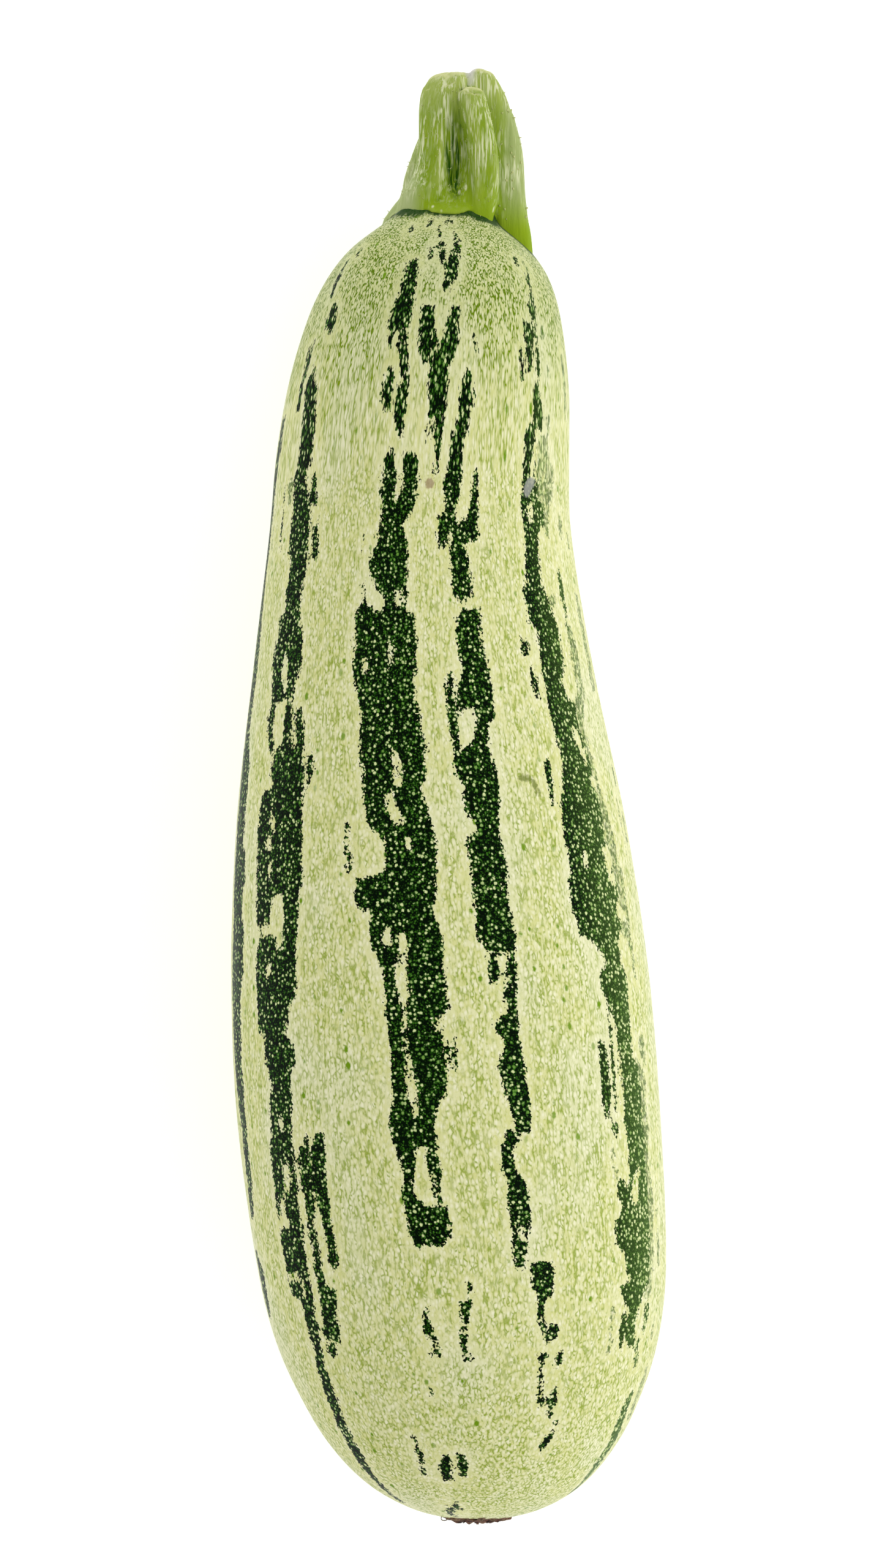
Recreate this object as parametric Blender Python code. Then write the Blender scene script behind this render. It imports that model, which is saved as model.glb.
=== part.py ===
"""A striped zucchini as picked, lying on its side, for Blender 4.5.

Run with: blender --background --python part.py

Three pieces grew together but are told apart by eye and by hand: the fruit, the ridged
stem that was cut from the plant, and the dried remains of the flower at the far end.

The pieces are first shaped in the growth frame, in millimetres: +Y runs along the fruit
from the flower end to the stem, +X is to the right seen from above, and +Z is up. They are
then leaned and lowered together, so that the fruit lies on the table under its own weight,
with the origin on the table under the middle of the whole thing.
"""

import math
import random

import bmesh
import bpy
from mathutils import Matrix, Vector

MM = 0.001

# The fruit: place along the axis, half its width seen from above, and its axis's place in X.
FRUIT_STATIONS = (
    (-142.2, 0.0, 5.6),
    (-140.3, 12.0, 5.5),
    (-135.8, 20.4, 5.2),
    (-129.7, 26.5, 4.8),
    (-122.2, 31.4, 4.4),
    (-108.0, 37.3, 3.5),
    (-93.0, 40.1, 2.5),
    (-64.0, 41.6, 0.0),
    (-36.0, 41.1, -1.7),
    (-7.0, 38.5, -3.4),
    (22.0, 33.9, -4.9),
    (51.0, 29.9, -5.6),
    (66.0, 29.1, -5.1),
    (80.0, 27.9, -4.0),
    (94.0, 25.0, -2.9),
    (101.5, 22.0, -2.3),
    (107.0, 18.0, -2.1),
    (111.5, 12.7, -1.7),
    (114.0, 10.7, -0.7),
    (115.6, 9.2, 0.2),
    (117.0, 6.4, 1.0),
    (117.9, 0.0, 1.4),
)
HEIGHT_TO_WIDTH = 0.97
FRUIT_RINGS = 58
FRUIT_SIDES = 56

# Each stem ridge raises a rib on the fruit's shoulder, which fades out along the fruit.
RIB_SPREAD = 17.0  # degrees
RIB_SHARE = 0.12  # of the radius, where the stem starts
RIB_START = 115.6
RIB_FADE = 9.0
RIB_MIDDLE = 0.4  # the ribs rise above the plain radius as the dips between them fall below it

# How it lies: the stem end is the lighter and thinner one, so it leans down to the table.
LEAN = 4.6  # degrees
FLAT_DEPTH = 1.2  # how far the skin is pressed flat where it bears on the table

# The stem's ridges, each with the way it faces in degrees from the top. Its stations are: along, X, Z,
# half-width across the ridge, half-depth of the ridge. Each one runs from inside the fruit's shoulder
# to its own end.
STEM_RIDGES = {
    "front_left": (
        -40.0,
        (
            (108.0, -6.6, 3.8, 4.6, 4.0),
            (117.0, -4.4, 4.7, 5.0, 4.5),
            (121.0, -2.2, 4.8, 4.7, 4.3),
            (126.0, -1.3, 4.6, 4.6, 4.1),
            (133.0, -1.1, 4.2, 4.8, 3.8),
            (138.5, -0.7, 3.8, 4.8, 3.3),
            (142.2, 0.3, 3.4, 4.0, 2.6),
        ),
    ),
    "front_right": (
        20.0,
        (
            (108.0, 4.8, 4.8, 3.0, 3.6),
            (112.0, 5.4, 5.6, 3.0, 3.6),
            (117.0, 6.4, 6.6, 3.1, 3.7),
            (124.0, 6.5, 7.2, 3.1, 3.5),
            (131.5, 5.4, 7.5, 2.9, 3.1),
            (136.0, 4.6, 7.4, 2.7, 2.7),
            (138.4, 4.3, 7.2, 2.4, 2.3),
        ),
    ),
    "right": (
        98.0,
        (
            (103.0, 13.6, -0.4, 3.6, 3.0),
            (108.0, 12.7, -0.4, 4.0, 3.8),
            (117.0, 10.8, -0.6, 4.3, 4.4),
            (125.7, 10.2, -0.4, 4.3, 4.6),
            (131.5, 9.3, 0.4, 4.1, 4.3),
            (137.2, 7.9, 1.2, 3.8, 3.5),
            (141.0, 6.8, 1.8, 3.3, 2.7),
            (143.2, 5.9, 2.0, 2.6, 1.9),
        ),
    ),
    "underside": (
        172.0,
        (
            (106.0, 2.2, -8.0, 4.2, 4.0),
            (117.0, 2.6, -6.9, 4.2, 4.1),
            (126.0, 2.9, -6.0, 4.0, 3.9),
            (134.0, 3.1, -5.2, 3.7, 3.4),
            (137.6, 3.2, -4.9, 3.2, 2.9),
        ),
    ),
    "back_left": (
        -112.0,
        (
            (106.0, -10.4, -3.4, 4.0, 3.8),
            (114.2, -8.3, -3.1, 4.1, 4.2),
            (118.0, -5.3, -2.9, 4.1, 4.2),
            (122.8, -4.3, -2.6, 4.0, 4.1),
            (126.5, -3.2, -2.3, 3.9, 3.9),
            (131.0, -1.8, -2.0, 3.8, 3.5),
            (138.0, -0.8, -1.5, 3.5, 3.0),
            (140.8, -0.4, -1.2, 2.9, 2.5),
        ),
    ),
}
STEM_CORE = (  # along, X, Z, radius
    (108.0, -1.6, 0.0, 8.6),
    (112.0, -0.6, 0.0, 9.2),
    (115.0, 0.9, 0.0, 9.5),
    (117.0, 1.7, 0.0, 9.1),
    (121.0, 2.2, 0.1, 8.1),
    (126.0, 2.7, 0.2, 7.1),
    (133.0, 3.2, 0.6, 6.1),
    (136.6, 3.4, 0.8, 5.0),
)
RIDGE_SIDES = 18
RIDGE_RINGS = 22
CORE_SIDES = 32
RIDGE_END_ROUND = 1.3  # how far from a ridge's end it starts to round over
RIDGE_END_NARROW = 0.86  # 1 would bring the very end to a point
RIDGE_SQUARE = 0.72  # below 1, a ridge's section is squarer than an oval

# The dried flower remains: a thin ragged crust on the flower end, with stubs that stand out.
SCAR_RADIUS = 6.6
SCAR_THICKNESS = 0.75
SCAR_THINNING = 0.4  # share of the thickness that is gone at the rim
SCAR_SUNK = 2.2
SCAR_SIDES = 40
SCAR_RINGS = 5
SCAR_RAGGED = 0.16  # share of the radius
STUB_COUNT = 9
STUB_SEED = 11
STUB_SIDES = 6
STUB_LENGTHS = (1.5, 2.0)
STUB_RADII = (0.6, 1.0)
STUB_TAPER = 0.45
STUB_PLACES = (0.3, 0.85)  # share of the crust's radius
STUB_SPLAY = 0.35  # how far a stub leans outwards as it rises

CLEARANCE = 0.3  # between two pieces that meet

# Colours are linear.
FRUIT_COLOUR, FRUIT_ROUGHNESS = (0.55, 0.60, 0.30), 0.42
STEM_COLOUR, STEM_ROUGHNESS = (0.30, 0.42, 0.07), 0.5
SCAR_COLOUR, SCAR_ROUGHNESS = (0.055, 0.028, 0.014), 0.85


def smooth_through(stations, at):
    """Values at a place along a smooth curve through the stations, whose first value is the place."""
    last = len(stations) - 1
    i = next((n for n in range(last) if at <= stations[n + 1][0]), last - 1)
    here, there = stations[i], stations[i + 1]
    before, after = stations[max(i - 1, 0)], stations[min(i + 2, last)]
    span = there[0] - here[0]
    t = (at - here[0]) / span
    values = []
    for k in range(1, len(here)):
        leave = (there[k] - before[k]) / (there[0] - before[0]) * span
        arrive = (after[k] - here[k]) / (after[0] - here[0]) * span
        values.append(
            (2 * t**3 - 3 * t**2 + 1) * here[k]
            + (t**3 - 2 * t**2 + t) * leave
            + (3 * t**2 - 2 * t**3) * there[k]
            + (t**3 - t**2) * arrive
        )
    return values


def spaced(first, last, count):
    """Places from first to last, evenly apart."""
    return [first + (last - first) * n / (count - 1) for n in range(count)]


def spaced_close_at_ends(first, last, count):
    """Places from first to last, closer together towards both ends."""
    return [first + (last - first) * (1 - math.cos(turn)) / 2 for turn in spaced(0.0, math.pi, count)]


def close_skin(mesh, rings, start_tip=None, end_tip=None):
    """Joins rings of vertices into a closed skin, with a tip or a flat face at each end."""
    for here, there in zip(rings, rings[1:]):
        for n, vertex in enumerate(here):
            following = (n + 1) % len(here)
            mesh.faces.new((vertex, here[following], there[following], there[n]))
    for ring, tip in ((rings[0], start_tip), (rings[-1], end_tip)):
        if tip is None:
            mesh.faces.new(ring)
            continue
        for n, vertex in enumerate(ring):
            mesh.faces.new((vertex, ring[(n + 1) % len(ring)], tip))
    bmesh.ops.recalc_face_normals(mesh, faces=mesh.faces)


def new_object(name, mesh):
    data = bpy.data.meshes.new(name)
    mesh.to_mesh(data)
    mesh.free()
    data.shade_smooth()
    made = bpy.data.objects.new(name, data)
    bpy.context.scene.collection.objects.link(made)
    return made


def painted(made, colour, roughness):
    material = bpy.data.materials.new(made.name)
    material.use_nodes = True
    shader = material.node_tree.nodes["Principled BSDF"]
    shader.inputs["Base Color"].default_value = (*colour, 1.0)
    shader.inputs["Roughness"].default_value = roughness
    shader.inputs["Metallic"].default_value = 0.0
    made.data.materials.append(material)
    return made


def apply_boolean(made, modifier):
    modifier.solver = "EXACT"
    bpy.context.view_layer.update()
    shaped = made.evaluated_get(bpy.context.evaluated_depsgraph_get())
    made.data = bpy.data.meshes.new_from_object(shaped)
    made.modifiers.clear()


def join_to(made, others):
    """Joins other objects to the piece with one Boolean on their collection, and removes them."""
    together = bpy.data.collections.new("together")
    bpy.context.scene.collection.children.link(together)
    for other in others:
        bpy.context.scene.collection.objects.unlink(other)
        together.objects.link(other)
    modifier = made.modifiers.new("Join", "BOOLEAN")
    modifier.operation = "UNION"
    modifier.operand_type = "COLLECTION"
    modifier.collection = together
    apply_boolean(made, modifier)
    for other in others:
        bpy.data.objects.remove(other)
    bpy.data.collections.remove(together)


def cut_with(made, cutter):
    modifier = made.modifiers.new("Cut", "BOOLEAN")
    modifier.operation = "DIFFERENCE"
    modifier.object = cutter
    apply_boolean(made, modifier)


def fruit_section(along):
    """The fruit's half-width and the X of its axis. The square of the width is what runs smoothly
    to nothing at a round end."""
    squares = [(place, width * width, x) for place, width, x in FRUIT_STATIONS]
    square, x = smooth_through(squares, along)
    return math.sqrt(max(square, 0.0)), x


def rib_angles():
    """Where each stem ridge stands on the fruit's shoulder, in degrees from the top."""
    axis_x = fruit_section(RIB_START)[1]
    angles = []
    for _, stations in STEM_RIDGES.values():
        x, z = smooth_through(stations, RIB_START)[:2]
        angles.append(math.degrees(math.atan2(x - axis_x, z)))
    return angles


def rib_height(angle, along, ribs):
    """How much the ribs raise the skin here, as a share of the radius."""
    raised = 0.0
    for rib in ribs:
        apart = (math.degrees(angle) - rib + 180.0) % 360.0 - 180.0
        raised += math.exp(-((apart / RIB_SPREAD) ** 2))
    fade = math.exp(-max(RIB_START - along, 0.0) / RIB_FADE)
    return RIB_SHARE * fade * (raised - RIB_MIDDLE)


def fruit_mesh(grow=0.0):
    """The fruit in the growth frame, as one closed skin. It can be grown outwards all over."""
    mesh = bmesh.new()
    ribs = rib_angles()
    first, last = FRUIT_STATIONS[0], FRUIT_STATIONS[-1]
    rings = []
    for along in spaced_close_at_ends(first[0], last[0], FRUIT_RINGS + 2)[1:-1]:
        width, x = fruit_section(along)
        ring = []
        for n in range(FRUIT_SIDES):
            angle = 2 * math.pi * n / FRUIT_SIDES
            reach = width * (1 + rib_height(angle, along, ribs))
            place = Vector((x + reach * math.sin(angle), along, HEIGHT_TO_WIDTH * reach * math.cos(angle)))
            ring.append(mesh.verts.new(place * MM))
        rings.append(ring)
    tips = [mesh.verts.new(Vector((end[2], end[0], 0.0)) * MM) for end in (first, last)]
    close_skin(mesh, rings, *tips)
    if grow:
        mesh.normal_update()
        outward = [vertex.normal.copy() for vertex in mesh.verts]
        for vertex, normal in zip(mesh.verts, outward):
            vertex.co += normal * grow * MM
    return mesh


def resting_place(mesh):
    """The move from the growth frame to the table: leaned, and lowered until the skin would go
    FLAT_DEPTH into it."""
    lean = Matrix.Rotation(math.radians(-LEAN), 4, "X")
    lowest = min((lean @ vertex.co).z for vertex in mesh.verts)
    return Matrix.Translation((0.0, 0.0, -lowest - FLAT_DEPTH * MM)) @ lean


def cut_flat_underneath(mesh, lying):
    """Cuts off what would go into the table, which leaves one small flat face."""
    growth = lying.inverted()
    cut = bmesh.ops.bisect_plane(
        mesh,
        geom=[*mesh.verts, *mesh.edges, *mesh.faces],
        plane_co=growth @ Vector(),
        plane_no=growth.to_3x3() @ Vector((0.0, 0.0, 1.0)),
        clear_inner=True,
    )
    edges = [item for item in cut["geom_cut"] if isinstance(item, bmesh.types.BMEdge)]
    bmesh.ops.edgeloop_fill(mesh, edges=edges)
    bmesh.ops.recalc_face_normals(mesh, faces=mesh.faces)


def squarer(value):
    """Turns a sine or cosine into that of a squarer oval."""
    return math.copysign(abs(value) ** RIDGE_SQUARE, value)


def ridge_mesh(facing, stations):
    """One ridge: a squarish bar along its stations, which faces an angle from the top and is
    rounded over at its free end."""
    mesh = bmesh.new()
    outward = Vector((math.sin(math.radians(facing)), 0.0, math.cos(math.radians(facing))))
    sideways = Vector((outward.z, 0.0, -outward.x))
    start, end = stations[0][0], stations[-1][0]
    rings = []
    for along in spaced_close_at_ends(start, end, RIDGE_RINGS)[:-1]:
        x, z, width, depth = smooth_through(stations, along)
        into_end = max(1 - (end - along) / RIDGE_END_ROUND, 0.0)
        share = math.sqrt(1 - RIDGE_END_NARROW * into_end**2)
        ring = []
        for n in range(RIDGE_SIDES):
            angle = 2 * math.pi * n / RIDGE_SIDES
            offset = sideways * width * squarer(math.cos(angle)) + outward * depth * squarer(math.sin(angle))
            ring.append(mesh.verts.new((Vector((x, along, z)) + offset * share) * MM))
        rings.append(ring)
    tip = mesh.verts.new(Vector((stations[-1][1], end, stations[-1][2])) * MM)
    close_skin(mesh, rings, end_tip=tip)
    return mesh


def core_mesh():
    """The stem's round core, which ends lower than the ridges because its pith has shrunk back."""
    mesh = bmesh.new()
    rings = []
    for along in spaced(STEM_CORE[0][0], STEM_CORE[-1][0], RIDGE_RINGS):
        x, z, radius = smooth_through(STEM_CORE, along)
        ring = []
        for n in range(CORE_SIDES):
            angle = 2 * math.pi * n / CORE_SIDES
            place = Vector((x + radius * math.sin(angle), along, z + radius * math.cos(angle)))
            ring.append(mesh.verts.new(place * MM))
        rings.append(ring)
    close_skin(mesh, rings)
    return mesh


def crust_mesh(draw):
    """The dried crust, which follows the round flower end and has a ragged rim. Its inner side lies
    inside the fruit, which is then cut out of it."""
    mesh = bmesh.new()
    pole, _, pole_x = FRUIT_STATIONS[0]
    near_along, near_width, _ = FRUIT_STATIONS[1]
    dome_radius = near_width**2 / (2 * (near_along - pole))
    ragged = [SCAR_RAGGED * draw.uniform(-1, 1) for _ in range(SCAR_SIDES)]
    shares = [(n + 1) / SCAR_RINGS for n in range(SCAR_RINGS)]
    outer = [(share, pole - SCAR_THICKNESS * (1 - SCAR_THINNING * share**2)) for share in shares]
    inner = [(share, pole + SCAR_SUNK) for share in reversed(shares)]
    rings = []
    for share, along in outer + inner:
        ring = []
        for n, uneven in enumerate(ragged):
            angle = 2 * math.pi * n / SCAR_SIDES
            radius = SCAR_RADIUS * share * (1 + uneven * share)
            fall = radius**2 / (2 * dome_radius)
            place = Vector((pole_x + radius * math.sin(angle), along + fall, radius * math.cos(angle)))
            ring.append(mesh.verts.new(place * MM))
        rings.append(ring)
    tips = [
        mesh.verts.new(Vector((pole_x, along, 0.0)) * MM)
        for along in (pole - SCAR_THICKNESS, pole + SCAR_SUNK)
    ]
    close_skin(mesh, rings, *tips)
    return mesh


def stub_mesh(draw, angle):
    """A short dry stub that stands on the crust: a blunt six-sided cone."""
    mesh = bmesh.new()
    pole, _, pole_x = FRUIT_STATIONS[0]
    reach = SCAR_RADIUS * draw.uniform(*STUB_PLACES)
    length, radius = draw.uniform(*STUB_LENGTHS), draw.uniform(*STUB_RADII)
    foot = Vector((pole_x + reach * math.sin(angle), pole + length / 4, reach * math.cos(angle)))
    outward = Vector((STUB_SPLAY * math.sin(angle), -1.0, STUB_SPLAY * math.cos(angle))).normalized()
    bmesh.ops.create_cone(
        mesh,
        cap_ends=True,
        segments=STUB_SIDES,
        radius1=radius * MM,
        radius2=STUB_TAPER * radius * MM,
        depth=length * MM,
    )
    turn = Vector((0.0, 0.0, 1.0)).rotation_difference(outward).to_matrix().to_4x4()
    move = Matrix.Translation((foot + outward * length / 2) * MM)
    bmesh.ops.transform(mesh, matrix=move @ turn, verts=mesh.verts)
    return mesh


def build_fruit():
    """The fruit, and the move that lays it on the table."""
    mesh = fruit_mesh()
    lying = resting_place(mesh)
    cut_flat_underneath(mesh, lying)
    return painted(new_object("fruit", mesh), FRUIT_COLOUR, FRUIT_ROUGHNESS), lying


def build_stem(fruit_cutter):
    """The core and its five ridges in one body, hollowed underneath to sit on the fruit."""
    stem = new_object("stem", core_mesh())
    ridges = [new_object(name, ridge_mesh(*shape)) for name, shape in STEM_RIDGES.items()]
    join_to(stem, ridges)
    cut_with(stem, fruit_cutter)
    return painted(stem, STEM_COLOUR, STEM_ROUGHNESS)


def build_blossom_scar(fruit_cutter):
    """The crust with stubs, which are what is left of the petals and the style."""
    draw = random.Random(STUB_SEED)
    scar = new_object("blossom_scar", crust_mesh(draw))
    stubs = []
    for n in range(STUB_COUNT):
        angle = 2 * math.pi * (n + draw.uniform(-0.3, 0.3)) / STUB_COUNT
        stubs.append(new_object(f"stub_{n}", stub_mesh(draw, angle)))
    join_to(scar, stubs)
    cut_with(scar, fruit_cutter)
    return painted(scar, SCAR_COLOUR, SCAR_ROUGHNESS)


def middle_of(pieces):
    corners = [vertex.co for piece in pieces for vertex in piece.data.vertices]
    return Vector([(min(c[k] for c in corners) + max(c[k] for c in corners)) / 2 for k in range(3)])


def main():
    for leftover in list(bpy.data.objects):
        bpy.data.objects.remove(leftover)
    fruit, lying = build_fruit()
    fruit_cutter = new_object("fruit_cutter", fruit_mesh(grow=CLEARANCE))
    pieces = (fruit, build_stem(fruit_cutter), build_blossom_scar(fruit_cutter))
    bpy.data.objects.remove(fruit_cutter)
    for piece in pieces:
        piece.data.transform(lying)
    middle = middle_of(pieces)
    zucchini = bpy.data.objects.new("zucchini", None)
    bpy.context.scene.collection.objects.link(zucchini)
    zucchini.location = (-middle.x, -middle.y, 0.0)
    for piece in pieces:
        piece.parent = zucchini


main()
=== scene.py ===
"""How a striped zucchini looks: its mottled skin, its cut stem and its dried flower scar.

It lies on a plain pale floor, and the camera looks straight down on it. Sizes are in
millimetres in the growth frame: +Y runs along the fruit from the flower end to the stem,
+X is to the right and +Z is up. One move then lays each finished piece on the floor.
"""

import math
import random

import bmesh
import bpy
import numpy as np
from mathutils import Matrix, Vector, noise
from mathutils.bvhtree import BVHTree


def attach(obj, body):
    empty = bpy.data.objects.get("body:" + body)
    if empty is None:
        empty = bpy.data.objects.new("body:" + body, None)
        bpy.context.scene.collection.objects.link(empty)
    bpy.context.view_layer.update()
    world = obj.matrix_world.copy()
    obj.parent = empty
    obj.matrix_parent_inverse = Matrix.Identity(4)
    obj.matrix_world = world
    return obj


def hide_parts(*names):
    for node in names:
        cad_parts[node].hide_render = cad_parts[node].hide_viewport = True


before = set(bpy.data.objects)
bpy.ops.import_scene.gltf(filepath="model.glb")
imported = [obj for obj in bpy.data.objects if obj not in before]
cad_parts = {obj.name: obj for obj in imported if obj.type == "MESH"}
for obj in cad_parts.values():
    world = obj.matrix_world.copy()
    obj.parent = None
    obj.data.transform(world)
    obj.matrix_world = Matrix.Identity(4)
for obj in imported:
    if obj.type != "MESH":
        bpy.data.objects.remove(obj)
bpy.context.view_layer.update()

MM = 0.001

# How it lies: leaned down to its thin end, with the growth frame's origin this far above the floor.
LEAN = 4.6  # degrees
AXIS_PLACE = (0.095, 0.308, 35.8)
LYING = Matrix.Translation(Vector(AXIS_PLACE) * MM) @ Matrix.Rotation(math.radians(-LEAN), 4, "X")

# The fruit: place along the axis, half its width seen from above, and its axis's place in X.
FRUIT_STATIONS = (
    (-142.2, 0.0, 5.6), (-140.3, 12.0, 5.5), (-135.8, 20.4, 5.2), (-129.7, 26.5, 4.8),
    (-122.2, 31.4, 4.4), (-108.0, 37.3, 3.5), (-93.0, 40.1, 2.5), (-64.0, 41.6, 0.0),
    (-36.0, 41.1, -1.7), (-7.0, 38.5, -3.4), (22.0, 33.9, -4.9), (51.0, 29.9, -5.6),
    (66.0, 29.1, -5.1), (80.0, 27.9, -4.0), (94.0, 25.0, -2.9), (101.5, 22.0, -2.3),
    (107.0, 18.0, -2.1), (111.5, 12.7, -1.7), (114.0, 10.7, -0.7), (115.6, 9.2, 0.2),
    (117.0, 6.4, 1.0), (117.9, 0.0, 1.4),
)
HEIGHT_TO_WIDTH = 0.97
SKIN_SIDES = 64
SKIN_RINGS = 94
SKIN_UNEVEN = 0.22  # how deep the skin's shallow lengthwise waves go
WAVES_ROUND = 4.0  # a higher number makes more waves round the fruit
WAVE_LENGTH = 34.0
DIMPLE_SHARE = 0.45
DIMPLE_FINENESS = 3.1

# Each stem ridge raises a rib on the fruit's shoulder, which fades out along the fruit.
RIB_SPREAD = 17.0  # degrees
RIB_SHARE = 0.12
RIB_START = 115.6
RIB_FADE = 9.0
RIB_MIDDLE = 0.4

# The stem's ridges, each with the way it faces in degrees from the top. Its stations are: along,
# X, Z, half-width across the ridge, half-depth of the ridge.
STEM_RIDGES = {
    "front_left": (
        -40.0,
        (
            (108.0, -6.6, 3.8, 4.6, 4.0), (117.0, -4.4, 4.7, 5.0, 4.5),
            (121.0, -2.2, 4.8, 4.7, 4.3), (126.0, -1.3, 4.6, 4.6, 4.1),
            (133.0, -1.1, 4.2, 4.8, 3.8), (138.5, -0.7, 3.8, 4.8, 3.3), (142.2, 0.3, 3.4, 4.0, 2.6),
        ),
    ),
    "front_right": (
        20.0,
        (
            (108.0, 4.8, 4.8, 3.0, 3.6), (112.0, 5.4, 5.6, 3.0, 3.6), (117.0, 6.4, 6.6, 3.1, 3.7),
            (124.0, 6.5, 7.2, 3.1, 3.5), (131.5, 5.4, 7.5, 2.9, 3.1), (136.0, 4.6, 7.4, 2.7, 2.7),
            (138.4, 4.3, 7.2, 2.4, 2.3),
        ),
    ),
    "right": (
        98.0,
        (
            (103.0, 13.6, -0.4, 3.6, 3.0), (108.0, 12.7, -0.4, 4.0, 3.8),
            (117.0, 10.8, -0.6, 4.3, 4.4), (125.7, 10.2, -0.4, 4.3, 4.6),
            (131.5, 9.3, 0.4, 4.1, 4.3), (137.2, 7.9, 1.2, 3.8, 3.5), (141.0, 6.8, 1.8, 3.3, 2.7),
            (143.2, 5.9, 2.0, 2.6, 1.9),
        ),
    ),
    "underside": (
        172.0,
        (
            (106.0, 2.2, -8.0, 4.2, 4.0), (117.0, 2.6, -6.9, 4.2, 4.1),
            (126.0, 2.9, -6.0, 4.0, 3.9), (134.0, 3.1, -5.2, 3.7, 3.4),
            (137.6, 3.2, -4.9, 3.2, 2.9),
        ),
    ),
    "back_left": (
        -112.0,
        (
            (106.0, -10.4, -3.4, 4.0, 3.8), (114.2, -8.3, -3.1, 4.1, 4.2),
            (118.0, -5.3, -2.9, 4.1, 4.2), (122.8, -4.3, -2.6, 4.0, 4.1),
            (126.5, -3.2, -2.3, 3.9, 3.9), (131.0, -1.8, -2.0, 3.8, 3.5),
            (138.0, -0.8, -1.5, 3.5, 3.0), (140.8, -0.4, -1.2, 2.9, 2.5),
        ),
    ),
}
STEM_CORE = (  # along, X, Z, radius
    (108.0, -1.6, 0.0, 8.6), (112.0, -0.6, 0.0, 9.2), (115.0, 0.9, 0.0, 9.5),
    (117.0, 1.7, 0.0, 9.1), (121.0, 2.2, 0.1, 8.1), (126.0, 2.7, 0.2, 7.1), (133.0, 3.2, 0.6, 6.1),
    (136.6, 3.4, 0.8, 5.0), (139.6, 3.8, 1.5, 4.0), (142.4, 4.2, 1.9, 3.0),
)
CORE_DENT = 1.5
PITH_FROM = 139.2
PITH_OVAL = (4.2, 2.0, 1.8, 4.2)  # its middle's X and Z, half its width and half its height
RIDGE_SIDES = 24
RIDGE_RINGS = 26
RIDGE_END_ROUND = 1.3
RIDGE_END_NARROW = 0.86
RIDGE_SQUARE = 0.72  # below 1, a ridge's section is squarer than an oval
STEM_VOXEL = 0.34
STEM_SMOOTHING = 7
STEM_FIBRES = 0.16  # how high the lengthwise fibres stand
FIBRE_FINENESS = (0.85, 0.075, 0.85)  # in X, along the stem and in Z
CUT_ENDS_FROM = 130.0
CUT_UNEVEN = 0.9
DRY_CUT_FROM = 132.0
GROOVE_CALM = 26  # how often points are drawn to their neighbours to find what lies in a groove
COLLAR_EDGE = (  # degrees from the top, and how far down the fruit the stem's foot spreads there
    (-180.0, 113.8), (-150.0, 115.0), (-128.0, 114.6), (-85.0, 113.4), (-62.0, 115.0),
    (-42.0, 115.4), (-29.0, 114.6), (-11.0, 112.8), (0.0, 112.4), (14.0, 112.3), (22.0, 112.8),
    (32.0, 113.9), (46.0, 114.8), (62.0, 114.6), (90.0, 113.0), (125.0, 114.2), (152.0, 115.0),
    (180.0, 113.8),
)
BRISTLE_SEED = 8
BRISTLE_COUNT = 320
BRISTLES_FROM_TO = (111.0, 138.5)
BRISTLE_ROOT = 0.1  # how deep each stands in the stem
BRISTLE_LEAN = ((-0.4, 0.4), (-0.2, 0.7), (-0.4, 0.4))  # in X, along the stem and in Z
WARTS_FROM = 10.0  # the X beyond which the hairs are thick stubs
WART_BREADTH = 2.6
BRISTLE_THICKNESS = (0.06, 0.13)
BRISTLE_LENGTH = (0.25, 0.65)
COLLAR_ROUND = 10.0  # the torus's radius before its points are moved onto the fruit
COLLAR_TOP = 116.9
COLLAR_LIP = 0.6
COLLAR_ROOT = 1.6
FRONT_GROOVE = (  # places along the stem, the groove's X there, and how deep it is as a share
    (113.5, 119.0, 125.0, 131.0, 137.0), (1.5, 1.3, 0.8, 0.6, 0.6), (0.0, 0.8, 1.0, 0.8, 0.3),
)
FRONT_GROOVE_WIDTH = 1.7
FRONT_GROOVE_DEPTH = 1.4

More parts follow.
